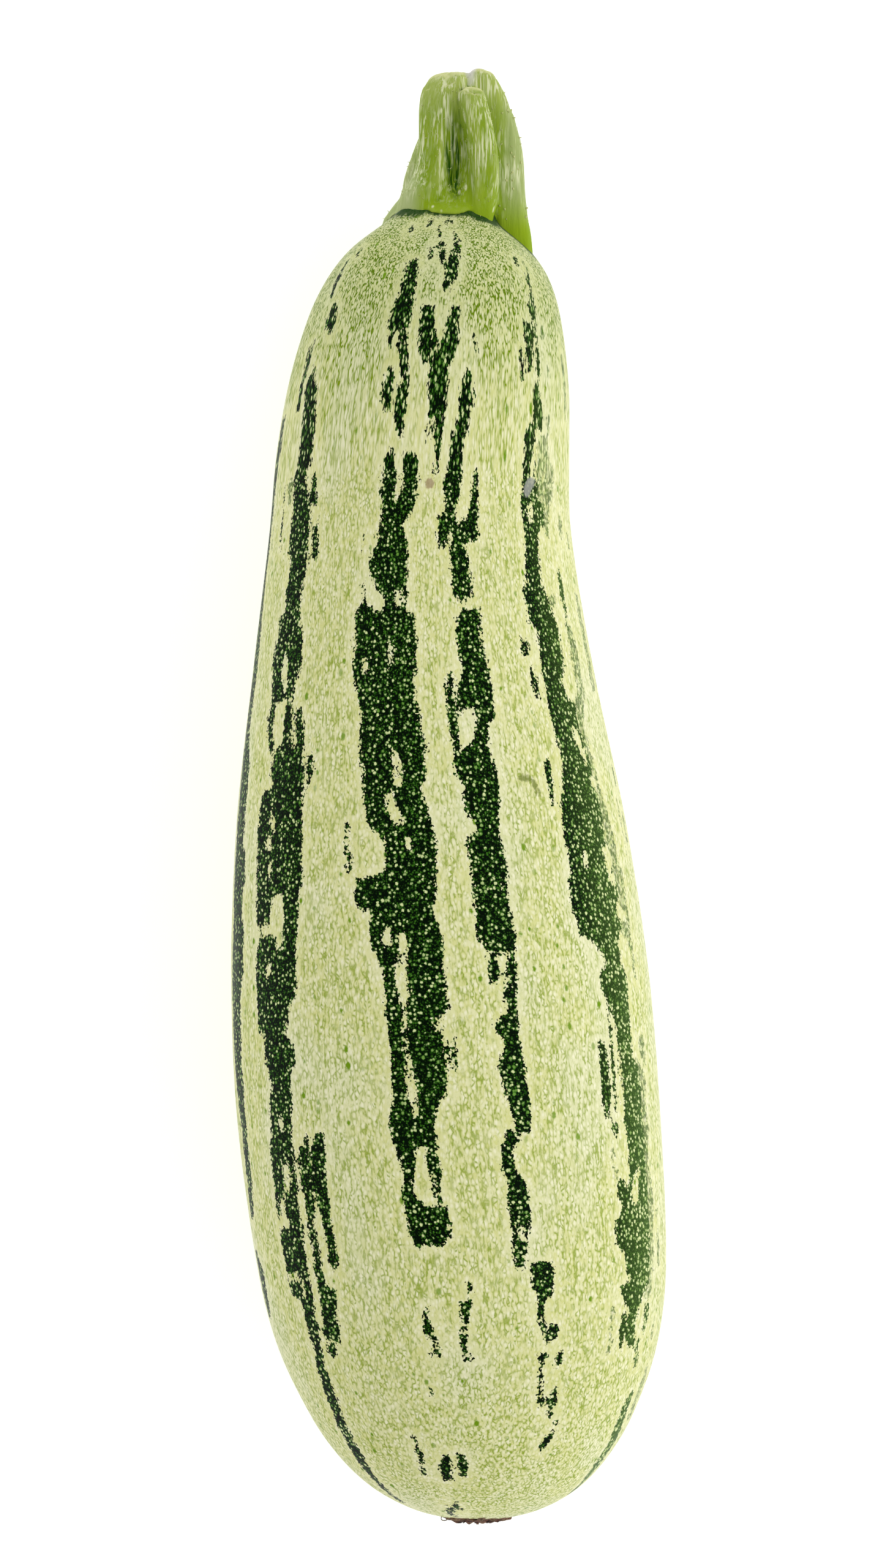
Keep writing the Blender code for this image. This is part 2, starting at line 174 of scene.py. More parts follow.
# Dark stripes, each a band of skin from the stem end down: place along the fruit, then its left
# and right edge in degrees from the top.
STRIPES = (
    # on the left flank
    ((103.3, -57.6, -55.3), (99.7, -58.4, -54.5), (96.9, -58.0, -54.7), (95.0, -57.2, -55.0)),
    ((94.6, -51.3, -49.8), (92.6, -52.7, -48.0), (90.8, -53.9, -46.8), (87.7, -50.4, -46.6)),
    ((105.4, -50.6, -49.4), (103.8, -50.2, -48.0)),
    ((87.0, -62.1, -59.8), (85.0, -63.3, -59.2), (81.0, -62.0, -59.4), (73.1, -62.7, -60.7)),
    (
        (82.0, -55.0, -53.0), (80.4, -55.3, -52.4), (79.0, -57.6, -52.7), (77.2, -57.6, -49.4),
        (72.6, -55.7, -48.6), (69.7, -55.6, -46.8), (62.0, -55.6, -47.1), (60.0, -58.0, -48.5),
        (55.0, -57.4, -47.4), (53.0, -57.4, -45.6), (47.7, -57.6, -45.4), (44.9, -57.2, -45.9),
        (43.4, -55.3, -45.4), (37.0, -56.2, -47.1), (33.4, -56.2, -47.4), (32.4, -59.2, -47.4),
        (27.7, -59.2, -44.7), (25.6, -60.7, -44.5), (20.6, -60.4, -45.1), (19.1, -59.2, -46.8),
        (15.5, -59.0, -47.4),
    ),
    ((15.6, -51.0, -47.4), (12.0, -51.0, -47.0), (8.0, -50.5, -46.5), (5.0, -52.0, -46.0)),
    ((15.6, -59.4, -56.8), (12.0, -59.8, -56.3), (8.5, -59.0, -55.5), (6.0, -57.0, -55.0)),
    ((14.3, -45.2, -43.0), (11.0, -45.0, -41.5), (7.0, -44.5, -40.8), (4.5, -46.0, -41.0)),
    ((60.5, -46.8, -44.5), (57.7, -46.3, -43.2), (54.0, -47.0, -43.2)),
    ((51.6, -42.2, -40.7), (49.1, -43.5, -41.0), (46.3, -43.3, -40.4), (43.3, -43.3, -40.0)),
    ((58.4, -65.6, -65.0), (54.9, -65.9, -64.1), (49.1, -65.6, -63.9), (45.6, -64.7, -63.4)),
    ((5.0, -38.8, -37.4), (2.1, -39.2, -36.4), (0.0, -39.2, -37.2), (-1.8, -38.0, -36.9)),
    (
        (6.0, -54.0, -41.0), (4.3, -55.3, -41.0), (1.4, -55.6, -40.4), (-0.5, -53.5, -40.0),
        (-2.1, -58.5, -40.0), (-5.0, -60.0, -40.4), (-10.0, -60.4, -40.0), (-20.0, -59.8, -40.0),
        (-27.1, -59.8, -41.0), (-29.0, -57.6, -41.5), (-30.7, -58.0, -42.0), (-32.9, -59.8, -42.1),
        (-42.0, -59.8, -42.7), (-44.5, -59.2, -45.6), (-48.1, -59.2, -46.2), (-49.2, -56.2, -46.2),
        (-50.8, -56.2, -43.8), (-55.0, -56.0, -43.6), (-55.8, -55.6, -46.0), (-59.1, -53.9, -45.9),
        (-60.6, -55.6, -45.9), (-68.4, -56.0, -46.8), (-70.6, -57.6, -46.8), (-81.3, -58.0, -47.4),
        (-92.0, -58.0, -47.4), (-98.2, -57.0, -47.4), (-99.6, -53.5, -47.5), (-104.3, -53.0, -48.6),
        (-107.9, -52.7, -49.2), (-111.4, -54.1, -49.8), (-118.6, -56.2, -50.6), (-125.7, -58.6, -52.7),
        (-129.3, -59.8, -53.6), (-132.9, -61.5, -56.2), (-135.7, -63.9, -58.0), (-138.6, -68.0, -61.0),
    ),
    (
        (-68.2, -42.6, -41.0), (-70.6, -45.1, -41.6), (-81.3, -45.4, -41.6), (-84.9, -45.7, -42.8),
        (-88.4, -44.4, -41.6), (-94.3, -45.4, -41.6), (-96.2, -44.7, -41.2), (-97.4, -44.7, -38.2),
        (-100.7, -44.7, -38.9), (-104.3, -45.7, -39.2), (-106.4, -47.4, -40.0), (-107.6, -42.2, -40.4),
    ),
    (
        (-67.6, -37.4, -35.7), (-69.1, -40.3, -35.4), (-77.7, -41.4, -36.5), (-84.9, -39.6, -36.5),
        (-92.0, -39.2, -35.7), (-94.3, -38.0, -36.3),
    ),
    ((-107.6, -46.8, -43.0), (-109.0, -47.0, -42.6), (-110.0, -46.0, -43.4)),
    # left of the top
    ((109.7, -22.7, -18.6), (108.3, -22.0, -19.0)),
    ((111.1, -8.4, -6.2), (109.7, -8.6, -7.0)),
    (
        (101.7, -15.3, -9.8), (99.7, -15.6, -8.2), (94.7, -16.0, -9.2), (92.9, -17.4, -9.0),
        (89.4, -19.2, -9.0), (87.6, -18.8, -10.1), (86.4, -16.4, -10.1), (85.4, -14.1, -10.1),
        (83.3, -13.2, -9.4), (80.8, -12.0, -8.6), (76.9, -9.8, -7.0), (73.3, -12.1, -7.4),
        (68.3, -10.9, -7.4), (66.1, -9.0, -7.3),
    ),
    ((87.0, -18.6, -16.0), (83.4, -17.4, -16.5)),
    ((80.4, -16.0, -15.2), (78.3, -17.4, -13.6), (75.0, -17.6, -13.3), (71.1, -16.0, -14.4)),
    (
        (64.0, -12.8, -11.0), (61.5, -14.8, -10.0), (54.9, -15.0, -9.0), (53.0, -13.9, -7.5),
        (51.3, -14.0, -6.0), (48.4, -13.9, -6.6), (45.6, -15.3, -5.0), (44.2, -17.6, -4.8),
        (42.0, -18.8, -4.7), (39.9, -18.6, -4.2), (37.7, -16.5, -5.0), (36.3, -15.6, -4.3),
        (34.9, -13.3, -4.7), (32.2, -13.3, -5.0), (31.2, -23.2, -2.6), (27.0, -23.4, -2.1),
        (22.0, -23.5, -2.6), (19.1, -23.2, -2.6), (15.6, -21.6, -3.0), (12.0, -20.4, -2.1),
        (5.0, -20.8, -0.5), (0.0, -20.0, -1.0), (-2.9, -19.5, -2.7), (-6.4, -19.2, -0.7),
        (-9.3, -18.6, 0.0), (-10.7, -17.4, 0.2), (-11.5, -14.5, 0.5), (-15.0, -13.6, 0.8),
        (-18.4, -13.6, 0.2), (-19.8, -22.7, 0.0), (-23.6, -22.7, 0.0), (-25.2, -22.0, -1.0),
        (-26.0, -18.6, -1.0), (-32.1, -18.6, 1.2), (-37.1, -15.6, 0.8), (-42.0, -15.0, 1.2),
        (-44.4, -15.3, 2.0), (-46.0, -15.3, -0.6), (-52.7, -14.5, 0.0), (-56.3, -14.8, 0.8),
        (-59.9, -14.8, -0.4), (-62.0, -14.5, -2.1), (-64.1, -16.0, -3.9), (-69.1, -16.2, -3.9),
        (-71.3, -14.5, -3.9), (-76.3, -13.9, -3.3), (-79.5, -14.5, -4.4), (-81.6, -14.4, -2.4),
        (-84.9, -13.6, -2.4), (-87.7, -13.3, -2.7), (-89.4, -12.2, -6.0),
    ),
    ((37.7, -21.2, -20.6), (35.0, -21.5, -20.2), (33.4, -21.8, -18.4), (30.6, -23.2, -12.0)),
    (
        (63.3, -6.8, -3.0), (62.0, -6.8, -1.2), (56.3, -6.2, -1.0), (54.1, -8.9, -0.9),
        (51.5, -9.2, -3.0), (49.5, -8.0, -5.4),
    ),
    ((48.4, -16.8, -15.8), (45.0, -16.5, -15.3), (43.0, -17.0, -15.0)),
    ((47.0, -21.5, -20.8), (43.8, -21.0, -20.4)),
    ((-9.1, -24.8, -23.9), (-11.4, -25.9, -24.4), (-15.0, -25.6, -23.9), (-18.6, -25.1, -23.3)),
    ((-50.4, 2.0, 2.8), (-53.0, 1.4, 3.0), (-56.3, 1.8, 3.1)),
    ((-100.7, -10.9, -10.1), (-103.0, -12.9, -10.4), (-105.5, -12.4, -9.8), (-107.0, -10.4, -8.0),
     (-110.0, -10.9, -8.0)),
    ((-116.0, -13.3, -12.5), (-117.5, -13.0, -12.1)),
    ((-125.0, -23.0, -21.4), (-127.5, -23.6, -21.2), (-132.7, -25.0, -23.0)),
    ((-128.6, -13.9, -10.4), (-130.7, -15.3, -9.4), (-133.6, -16.0, -10.4)),
    ((-128.6, -7.4, -3.9), (-130.7, -7.8, -3.0), (-132.9, -6.8, -4.2)),
    ((-138.4, -18.0, -13.5), (-139.6, -18.0, -13.5)),
    ((-139.0, -22.0, -18.0), (-140.3, -30.0, -21.0), (-141.0, -34.0, -28.0)),
    # on the top
    ((111.5, 3.8, 7.3), (110.0, 4.2, 7.0)),
    ((111.5, 8.7, 11.0), (110.4, 9.0, 10.6)),
    ((109.7, 0.0, 1.4), (106.5, 0.4, 1.6)),
    ((105.6, 0.6, 5.0), (103.0, 0.4, 4.8), (100.8, 2.2, 4.6)),
    ((104.7, -3.6, -1.8), (101.9, -4.2, -2.2)),
    (
        (107.6, 10.2, 12.9), (105.4, 9.4, 13.0), (103.3, 7.8, 12.0), (101.1, 5.0, 11.0),
        (98.3, 4.4, 10.5), (96.9, 4.0, 8.0), (95.3, 3.2, 7.5),
    ),
    ((92.2, -5.6, 0.8), (89.4, -5.4, 1.6), (85.0, -5.0, 2.0), (82.6, -3.9, 0.4), (80.8, -2.4, -0.2)),
    (
        (92.2, 8.5, 12.0), (88.3, 6.1, 11.4), (85.8, 4.9, 12.0), (85.0, -1.0, 12.0), (81.8, 0.4, 10.6),
        (79.7, 0.8, 8.2), (71.1, 1.2, 8.2), (69.5, 1.2, 7.8),
    ),
    ((70.4, 1.2, 3.2), (66.9, 1.1, 3.0), (63.3, 2.2, 2.8)),
    ((70.4, 4.4, 7.9), (67.6, 4.4, 7.5), (64.7, 5.4, 7.5), (58.5, 4.9, 5.4)),
    ((86.5, 18.1, 19.0), (84.7, 18.3, 19.6), (83.0, 19.0, 20.0)),
    # right of the top
    (
        (79.5, 16.1, 17.0), (77.6, 14.4, 17.9), (75.0, 13.8, 18.8), (71.0, 13.4, 18.5),
        (67.6, 12.0, 17.0), (62.0, 10.2, 15.5), (57.7, 9.1, 15.5), (52.0, 9.6, 14.1),
        (49.6, 8.6, 14.1), (48.4, 9.5, 21.8), (46.6, 12.0, 22.0), (44.9, 11.4, 16.7),
        (40.6, 10.8, 17.3), (37.7, 10.8, 18.5), (35.2, 11.1, 17.9), (33.8, 13.2, 14.9),
    ),
    ((51.0, 7.0, 10.0), (47.7, 6.1, 10.8), (45.8, 6.3, 9.9), (44.0, 7.3, 9.0)),
    (
        (60.2, 20.8, 22.2), (57.0, 20.2, 22.6), (54.9, 19.6, 22.8), (50.6, 17.9, 22.0),
        (46.0, 14.4, 22.0),
    ),
    (
        (32.6, 17.9, 20.2), (31.6, 11.8, 20.5), (26.3, 11.8, 20.0), (22.0, 12.0, 21.4),
        (19.1, 11.8, 22.0), (14.9, 10.2, 22.4), (12.0, 10.4, 22.4), (10.0, 10.2, 19.5),
        (6.4, 10.0, 19.1), (1.4, 7.9, 20.2), (-0.6, 8.2, 20.4), (-1.6, 9.6, 20.5),
        (-6.8, 9.6, 19.6), (-8.6, 11.8, 19.1), (-10.6, 12.6, 19.3), (-12.1, 9.1, 19.6),
        (-20.0, 9.9, 20.8), (-28.9, 10.2, 20.2), (-30.7, 10.8, 21.4), (-33.9, 13.2, 21.0),
    ),
    ((19.9, 7.9, 9.0), (17.7, 6.7, 9.6), (12.0, 7.0, 9.9), (6.4, 7.5, 9.5), (1.0, 7.8, 10.4)),
    ((-33.4, 13.2, 15.5), (-35.7, 13.0, 15.5), (-38.6, 12.6, 16.7), (-40.0, 13.2, 14.4)),
    (
        (-32.0, 17.9, 20.8), (-38.6, 17.9, 20.8), (-42.0, 16.7, 20.0), (-45.2, 17.3, 20.3),
        (-46.3, 13.4, 20.3), (-48.8, 13.4, 20.3), (-49.9, 16.1, 20.0), (-52.7, 15.5, 20.8),
        (-54.9, 13.4, 21.2), (-60.6, 15.3, 21.6), (-63.4, 16.7, 22.0), (-67.7, 17.9, 21.4),
    ),
    (
        (-67.3, 14.4, 17.5), (-69.1, 14.4, 19.0), (-70.6, 13.4, 16.1), (-74.1, 12.6, 16.5),
        (-76.3, 13.2, 18.5), (-79.1, 14.1, 19.6), (-84.9, 14.1, 19.6), (-89.1, 13.8, 17.9),
        (-93.6, 14.6, 16.7),
    ),
    ((-92.2, 18.5, 25.5), (-95.7, 19.0, 25.9), (-98.0, 20.0, 25.5), (-99.6, 20.4, 22.8),
     (-102.9, 20.8, 23.2), (-105.7, 21.4, 23.8), (-107.1, 23.2, 25.5)),
    ((-103.8, 25.5, 27.0), (-105.0, 25.0, 27.9), (-106.9, 24.5, 27.0)),
    ((-109.3, 21.6, 24.0), (-111.4, 21.8, 23.5), (-115.0, 22.0, 23.8), (-119.8, 22.8, 24.8)),
    ((-109.0, 27.5, 28.8), (-110.5, 26.8, 29.3), (-112.0, 27.4, 28.8)),
    ((-115.9, 27.5, 28.5), (-118.0, 26.1, 29.4), (-122.0, 27.6, 28.8)),
    ((-122.0, 30.4, 31.6), (-124.0, 30.8, 32.2), (-125.2, 28.0, 31.0), (-127.0, 26.0, 29.5),
     (-128.3, 27.5, 28.6)),
    ((-99.3, -1.2, 2.0), (-100.7, -1.5, 1.6), (-104.3, -1.5, 0.2), (-107.1, -1.9, 0.0),
     (-110.7, -1.2, 1.6)),
    ((-95.4, 1.4, 2.8), (-97.5, 0.5, 2.0)),
    # on the right flank
    ((103.6, 44.5, 47.0), (102.5, 43.8, 47.9), (101.5, 44.0, 46.5)),
    (
        (100.0, 49.0, 52.6), (97.2, 50.2, 52.0), (95.3, 47.9, 52.0), (91.9, 47.3, 51.5),
        (89.7, 49.0, 51.2), (81.1, 49.6, 51.4), (79.2, 51.4, 53.6),
    ),
    ((90.0, 43.2, 48.5), (87.0, 43.2, 48.5), (81.1, 43.8, 47.3), (79.7, 43.8, 45.0)),
    ((84.7, 40.2, 41.7), (78.3, 40.4, 41.6)),
    (
        (78.0, 48.5, 50.2), (74.0, 47.3, 52.6), (70.5, 47.9, 53.8), (69.0, 43.8, 53.0),
        (66.9, 43.0, 50.5), (64.0, 42.5, 50.0), (56.0, 42.0, 51.0), (53.0, 41.8, 54.0),
        (50.6, 41.8, 53.8), (49.1, 41.8, 50.2), (46.3, 42.0, 49.1), (40.6, 40.8, 49.0),
        (37.7, 40.2, 47.9), (36.3, 38.2, 49.6), (35.0, 38.4, 51.5), (30.6, 39.6, 53.8),
        (29.1, 42.6, 53.8), (22.7, 42.4, 55.0), (19.1, 42.4, 50.8), (16.6, 42.6, 53.0),
        (14.9, 42.6, 57.0), (12.0, 42.8, 56.0), (7.9, 43.8, 57.6), (2.9, 44.4, 58.8),
        (0.0, 42.8, 58.4), (-4.3, 41.8, 59.4), (-7.9, 40.8, 59.4), (-11.4, 40.6, 59.0),
        (-17.9, 41.4, 61.5), (-20.0, 40.0, 61.5), (-22.9, 40.2, 61.5), (-28.0, 41.0, 61.0),
        (-29.6, 41.8, 60.0), (-31.4, 47.3, 58.0), (-34.3, 51.4, 58.5), (-35.7, 50.5, 60.0),
        (-37.9, 47.5, 61.5), (-40.0, 47.9, 61.4), (-42.0, 50.6, 60.5), (-45.6, 53.2, 60.5),
        (-52.7, 53.8, 60.2), (-54.5, 53.8, 62.8), (-57.7, 54.1, 64.5), (-63.4, 54.4, 64.0),
        (-72.0, 54.9, 64.7), (-77.0, 54.7, 64.5), (-79.1, 50.0, 64.3), (-82.0, 51.4, 64.3),
        (-84.9, 47.3, 64.9), (-88.4, 47.3, 64.9), (-90.6, 50.8, 64.9), (-94.0, 52.0, 64.5),
        (-95.4, 53.8, 64.3), (-97.1, 49.1, 63.1), (-99.3, 50.6, 60.5), (-101.2, 54.1, 59.0),
        (-104.3, 52.8, 58.5), (-107.0, 53.6, 60.0), (-108.5, 56.7, 60.2),
    ),
    ((42.4, 59.6, 61.4), (39.1, 58.8, 62.0), (33.4, 59.6, 61.2), (30.0, 59.6, 61.5)),
    ((27.4, 35.4, 37.2), (25.5, 35.0, 37.9), (23.4, 35.6, 37.4)),
    ((22.4, 37.6, 38.8), (19.0, 37.3, 39.6), (15.6, 38.0, 39.6)),
    ((3.7, 36.9, 39.0), (0.0, 36.7, 39.3), (-2.1, 37.3, 39.0), (-5.6, 37.6, 38.6)),
    ((-76.5, 49.8, 51.0), (-79.1, 48.5, 54.9), (-81.0, 50.0, 56.0)),
    ((-50.2, 44.9, 48.5), (-56.3, 45.2, 49.0), (-60.6, 44.9, 49.0), (-64.9, 45.9, 47.9)),
    ((-43.0, 50.2, 52.0), (-49.1, 50.2, 51.4), (-63.5, 50.0, 51.0)),
    ((-65.6, 48.2, 51.4), (-67.9, 49.0, 51.0)),
    ((-100.0, 62.6, 65.6), (-104.0, 63.0, 66.0), (-105.4, 64.0, 65.8)),
    ((-102.0, 50.8, 53.0), (-105.0, 50.6, 53.2), (-108.9, 51.6, 52.8)),
    ((-106.6, 61.0, 62.4), (-109.0, 61.2, 63.5), (-112.5, 62.2, 64.4)),
    (
        (-117.1, 67.0, 69.6), (-120.7, 64.6, 69.6), (-124.3, 65.0, 73.0), (-127.1, 66.7, 75.0),
        (-130.0, 67.0, 75.0), (-132.9, 68.5, 76.7), (-135.0, 71.5, 78.0), (-137.0, 75.0, 82.0),
    ),
    # at the left edge of the view
    (
        (73.0, -81.0, -75.2), (66.0, -83.0, -74.8), (60.0, -87.0, -78.0), (46.0, -88.0, -79.0),
        (34.0, -86.0, -77.5), (28.0, -85.0, -76.0), (10.0, -84.0, -75.8), (6.0, -84.0, -73.0),
        (4.0, -83.0, -70.6), (-9.0, -83.0, -71.0), (-10.8, -82.0, -72.5), (-13.0, -82.0, -69.0),
        (-19.0, -82.0, -68.2), (-20.5, -82.0, -70.0), (-26.0, -81.0, -70.0), (-28.0, -81.0, -68.3),
        (-37.0, -82.0, -68.6), (-38.5, -82.0, -70.4), (-50.0, -81.0, -72.0), (-62.0, -79.0, -71.5),
        (-66.0, -77.0, -72.0), (-78.0, -78.0, -72.7), (-82.0, -80.0, -75.0), (-84.0, -80.0, -77.5),
    ),
    ((-90.0, -84.0, -80.0), (-94.0, -83.0, -75.0), (-98.0, -83.0, -75.4), (-103.0, -84.0, -79.0)),
)
# Stripes of weaker green, most of them where the right flank turns away.
FAINT_STRIPES = (
    ((103.0, 50.8, 52.4), (101.8, 51.0, 56.0), (100.3, 52.0, 55.5)),
    ((90.0, 54.6, 57.0), (87.2, 53.8, 56.6)),
    ((82.6, 56.0, 58.0), (80.0, 57.0, 59.0)),
    (
        (85.4, 72.4, 75.0), (83.0, 72.0, 75.2), (78.5, 72.4, 77.6), (76.0, 73.2, 76.5),
        (72.0, 74.0, 76.2),
    ),
    ((72.0, 57.0, 58.6), (70.0, 56.7, 59.3), (67.6, 57.0, 59.0)),
    (
        (68.0, 50.0, 57.0), (64.0, 49.5, 59.0), (62.0, 49.5, 62.0), (56.0, 50.0, 61.8),
        (54.9, 51.0, 59.0), (50.6, 52.0, 57.0), (47.7, 54.0, 56.4),
    ),
    ((59.8, -61.9, -58.0), (57.7, -61.9, -57.0), (54.6, -61.4, -58.4)),
    ((51.6, -75.4, -73.6), (46.6, -76.0, -73.6)),
    ((53.4, 65.5, 67.5), (51.0, 65.0, 69.0), (48.0, 65.6, 68.0)),
    ((50.0, 73.4, 76.0), (47.0, 73.0, 76.4)),
    ((36.5, 51.0, 55.0), (34.0, 50.0, 55.0)),
    (
        (31.0, 60.0, 63.6), (27.7, 59.0, 65.0), (22.0, 59.6, 65.0), (17.7, 60.2, 65.0),
        (15.6, 55.0, 63.0), (12.0, 55.0, 59.6), (5.0, 56.0, 61.0), (0.0, 57.0, 62.0),
        (-6.0, 58.0, 64.6), (-12.9, 58.0, 65.0), (-17.9, 60.0, 67.5), (-28.0, 60.0, 66.6),
        (-32.0, 65.0, 67.4), (-38.0, 65.8, 67.3),
    ),
    (
        (38.0, 74.0, 77.0), (34.0, 73.2, 78.0), (28.0, 74.0, 79.0), (20.0, 73.6, 79.0),
        (18.0, 74.0, 76.0),
    ),
    ((4.0, 77.0, 79.0), (0.0, 76.6, 79.0)),
    ((-2.1, 73.8, 75.0), (-8.0, 74.0, 75.6), (-13.6, 74.0, 75.2)),
    ((-5.0, 78.0, 80.0), (-11.0, 78.0, 81.0)),
    ((-48.4, 66.8, 69.0), (-50.5, 64.6, 69.0), (-54.5, 67.4, 69.4)),
    (
        (-53.0, 62.0, 64.5), (-57.7, 62.5, 68.5), (-60.6, 63.0, 67.3), (-66.3, 63.0, 67.9),
        (-74.1, 63.0, 66.1), (-76.3, 62.0, 68.5), (-84.9, 63.0, 67.9), (-94.0, 63.0, 67.5),
        (-99.0, 61.0, 66.0),
    ),
    ((-82.0, 69.6, 72.0), (-84.0, 69.8, 72.0)),
    ((-86.0, 70.5, 72.0), (-89.0, 70.4, 73.0), (-93.4, 70.6, 72.7)),
    ((-70.6, 47.4, 48.6), (-77.7, 48.0, 49.2)),
    ((-100.0, 45.5, 46.8), (-104.0, 46.0, 47.4), (-110.0, 46.5, 47.8)),
    ((-103.0, 71.5, 73.4), (-107.0, 71.6, 73.0)),
    ((-112.5, 74.0, 77.0), (-115.0, 73.0, 79.0), (-120.0, 73.4, 79.0), (-122.5, 75.0, 79.0)),
)
# Pale windows inside the stripes, in the same terms.
PALE_WINDOWS = (
    ((61.2, -49.8, -47.0), (58.0, -49.5, -46.6), (56.2, -48.5, -46.8)),
    ((24.8, -54.0, -52.6), (22.0, -54.5, -51.4), (19.5, -54.2, -51.2), (17.4, -52.2, -51.3)),
    ((-5.5, -54.2, -53.4), (-8.0, -54.2, -52.0), (-10.0, -53.0, -52.0)),
    ((-11.0, -55.6, -53.4), (-13.0, -55.4, -53.4)),
    ((-15.5, -54.2, -52.4), (-18.8, -54.0, -52.4)),
    (
        (-21.6, -50.6, -48.4), (-24.0, -52.2, -47.2), (-27.0, -52.4, -46.9), (-29.0, -53.0, -47.2),
        (-30.5, -50.7, -47.6), (-32.6, -49.8, -48.2),
    ),
    ((-27.8, -58.0, -52.0), (-29.8, -55.6, -52.0)),
    ((-35.0, -54.7, -52.7), (-37.7, -54.6, -52.5)),
    ((-64.8, -51.8, -50.0), (-67.2, -51.8, -50.0)),
    ((-73.3, -52.4, -50.0), (-78.7, -52.4, -50.2)),
    ((-79.8, -55.2, -53.4), (-83.0, -55.5, -53.9), (-84.2, -57.6, -53.0), (-85.6, -57.6, -52.8)),
    ((-94.2, -56.9, -52.0), (-95.6, -56.5, -51.0)),
    ((-95.5, -51.4, -50.4), (-98.8, -51.6, -50.4)),
    ((36.0, -8.7, -7.4), (33.0, -8.9, -7.5)),
    ((25.8, -11.3, -9.7), (21.0, -11.5, -9.7)),
    ((23.0, -19.7, -17.9), (20.4, -19.7, -18.1)),
    ((5.2, -10.4, -9.4), (3.5, -10.7, -8.4), (1.0, -10.5, -7.9), (-1.6, -9.9, -8.3)),
    ((-3.3, -12.9, -10.6), (-6.0, -12.7, -9.9), (-9.2, -10.6, -7.9)),
    ((-12.0, -7.2, -6.4), (-14.5, -7.2, -6.2)),
    ((-29.3, -15.2, -12.7), (-32.3, -15.2, -12.7)),
    (
        (-30.3, -10.9, -8.9), (-33.0, -11.0, -9.1), (-36.0, -11.7, -9.3), (-40.0, -11.9, -8.6),
        (-44.0, -10.7, -9.3), (-48.5, -10.7, -9.7),
    ),
    ((-46.0, -2.7, -1.1), (-48.7, -2.7, -1.3)),
    (
        (-50.0, -10.9, -9.8), (-54.0, -10.7, -9.5), (-57.5, -10.4, -8.2), (-60.5, -10.3, -8.1),
        (-64.7, -9.2, -7.4),
    ),
    (
        (-70.3, -9.5, -7.0), (-74.0, -10.1, -7.0), (-76.5, -11.0, -5.9), (-79.0, -11.0, -6.2),
        (-80.4, -10.0, -5.2), (-81.8, -8.8, -4.7),
    ),
    ((87.3, -15.9, -13.0), (84.5, -15.6, -13.2)),
    ((13.2, 10.6, 14.6), (11.0, 10.2, 15.8), (7.6, 9.8, 14.8), (5.6, 9.7, 12.0)),
    ((16.2, 9.8, 10.6), (13.5, 9.8, 10.6)),
    ((-85.4, 16.4, 17.8), (-88.2, 16.2, 17.7)),
    ((-19.8, 18.6, 19.6), (-21.6, 18.6, 19.4)),
    ((69.4, 49.4, 50.6), (65.0, 48.6, 50.4), (62.5, 46.8, 49.2), (58.4, 47.4, 49.2)),
    ((54.4, 45.0, 47.3), (50.4, 45.0, 47.2)),
    ((10.4, 51.4, 55.0), (5.7, 54.6, 56.2), (2.9, 55.9, 57.3)),
    ((1.2, 56.1, 59.2), (-0.9, 57.0, 60.5)),
    ((-12.3, 56.8, 60.6), (-15.0, 57.2, 60.6), (-18.0, 58.6, 60.8), (-19.7, 59.8, 61.2)),
    ((-23.2, 60.3, 61.6), (-25.0, 60.4, 65.2), (-26.6, 61.0, 64.2)),
    ((-13.8, 46.8, 48.8), (-17.0, 46.9, 48.7)),
    ((-74.2, 59.5, 60.8), (-76.6, 56.0, 59.2), (-79.0, 55.2, 58.7), (-81.0, 56.2, 58.4)),
    ((-46.8, 51.6, 53.0), (-50.0, 51.6, 53.0)),
    ((86.0, 3.0, 4.4), (82.6, 3.2, 4.2)),
)

# Small marks on the skin, in the same terms: a healed scratch, a tan spot and a grey rub.
OLIVE_MARKS = (
    ((0.4, 28.2, 30.4), (-0.2, 27.2, 31.6), (-0.5, 27.6, 32.2)),
    ((-0.2, 30.6, 32.0), (-1.2, 31.6, 33.0), (-2.4, 32.4, 33.5), (-3.6, 32.8, 33.4)),
)
TAN_MARKS = (((57.7, 2.6, 4.2), (57.0, 2.2, 4.8), (56.2, 2.6, 4.4)),)
GREY_MARKS = (
    ((59.0, 46.0, 49.0), (58.2, 44.5, 48.5), (56.8, 43.6, 46.5), (55.6, 43.6, 45.6)),
)

# The side that faces the floor has stripes of the same kind, by rule.
HIDDEN_STRIPES = (  # degrees from the top, and how broad the stripe is in degrees
    (97.0, 5.0), (117.0, 12.0), (136.0, 7.0), (158.0, 15.0),
    (181.0, 8.0), (203.0, 13.0), (226.0, 6.0), (249.0, 11.0),
)
HIDDEN_STRIPE_SEED = 5
HIDDEN_STRIPE_STARTS = (74.0, 101.0)
HIDDEN_STRIPE_ENDS = (-128.0, -98.0)
HIDDEN_PIECE_LENGTH = (12.0, 64.0)
HIDDEN_PIECE_GAP = (-6.0, 2.5)  # below 0, a piece starts beside the end of the one before
HIDDEN_PIECE_STEP = (1.4, 3.4)
HIDDEN_PIECE_TAPER = 9.0  # how far its ends are pointed
HIDDEN_PIECE_RAGGED = (0.75, 1.15)
HIDDEN_PIECE_LEAN = 0.8  # how far it strays at each step, in degrees
HIDDEN_SWELL = (104.0, 240.0)  # where a stripe starts to broaden, and over what length it does
SPLINTER_BREADTH = 2.4
SPLINTER_LENGTH = (5.0, 17.0)
SPLINTER_SHARE = 0.65  # how often a thin splinter runs beside a piece

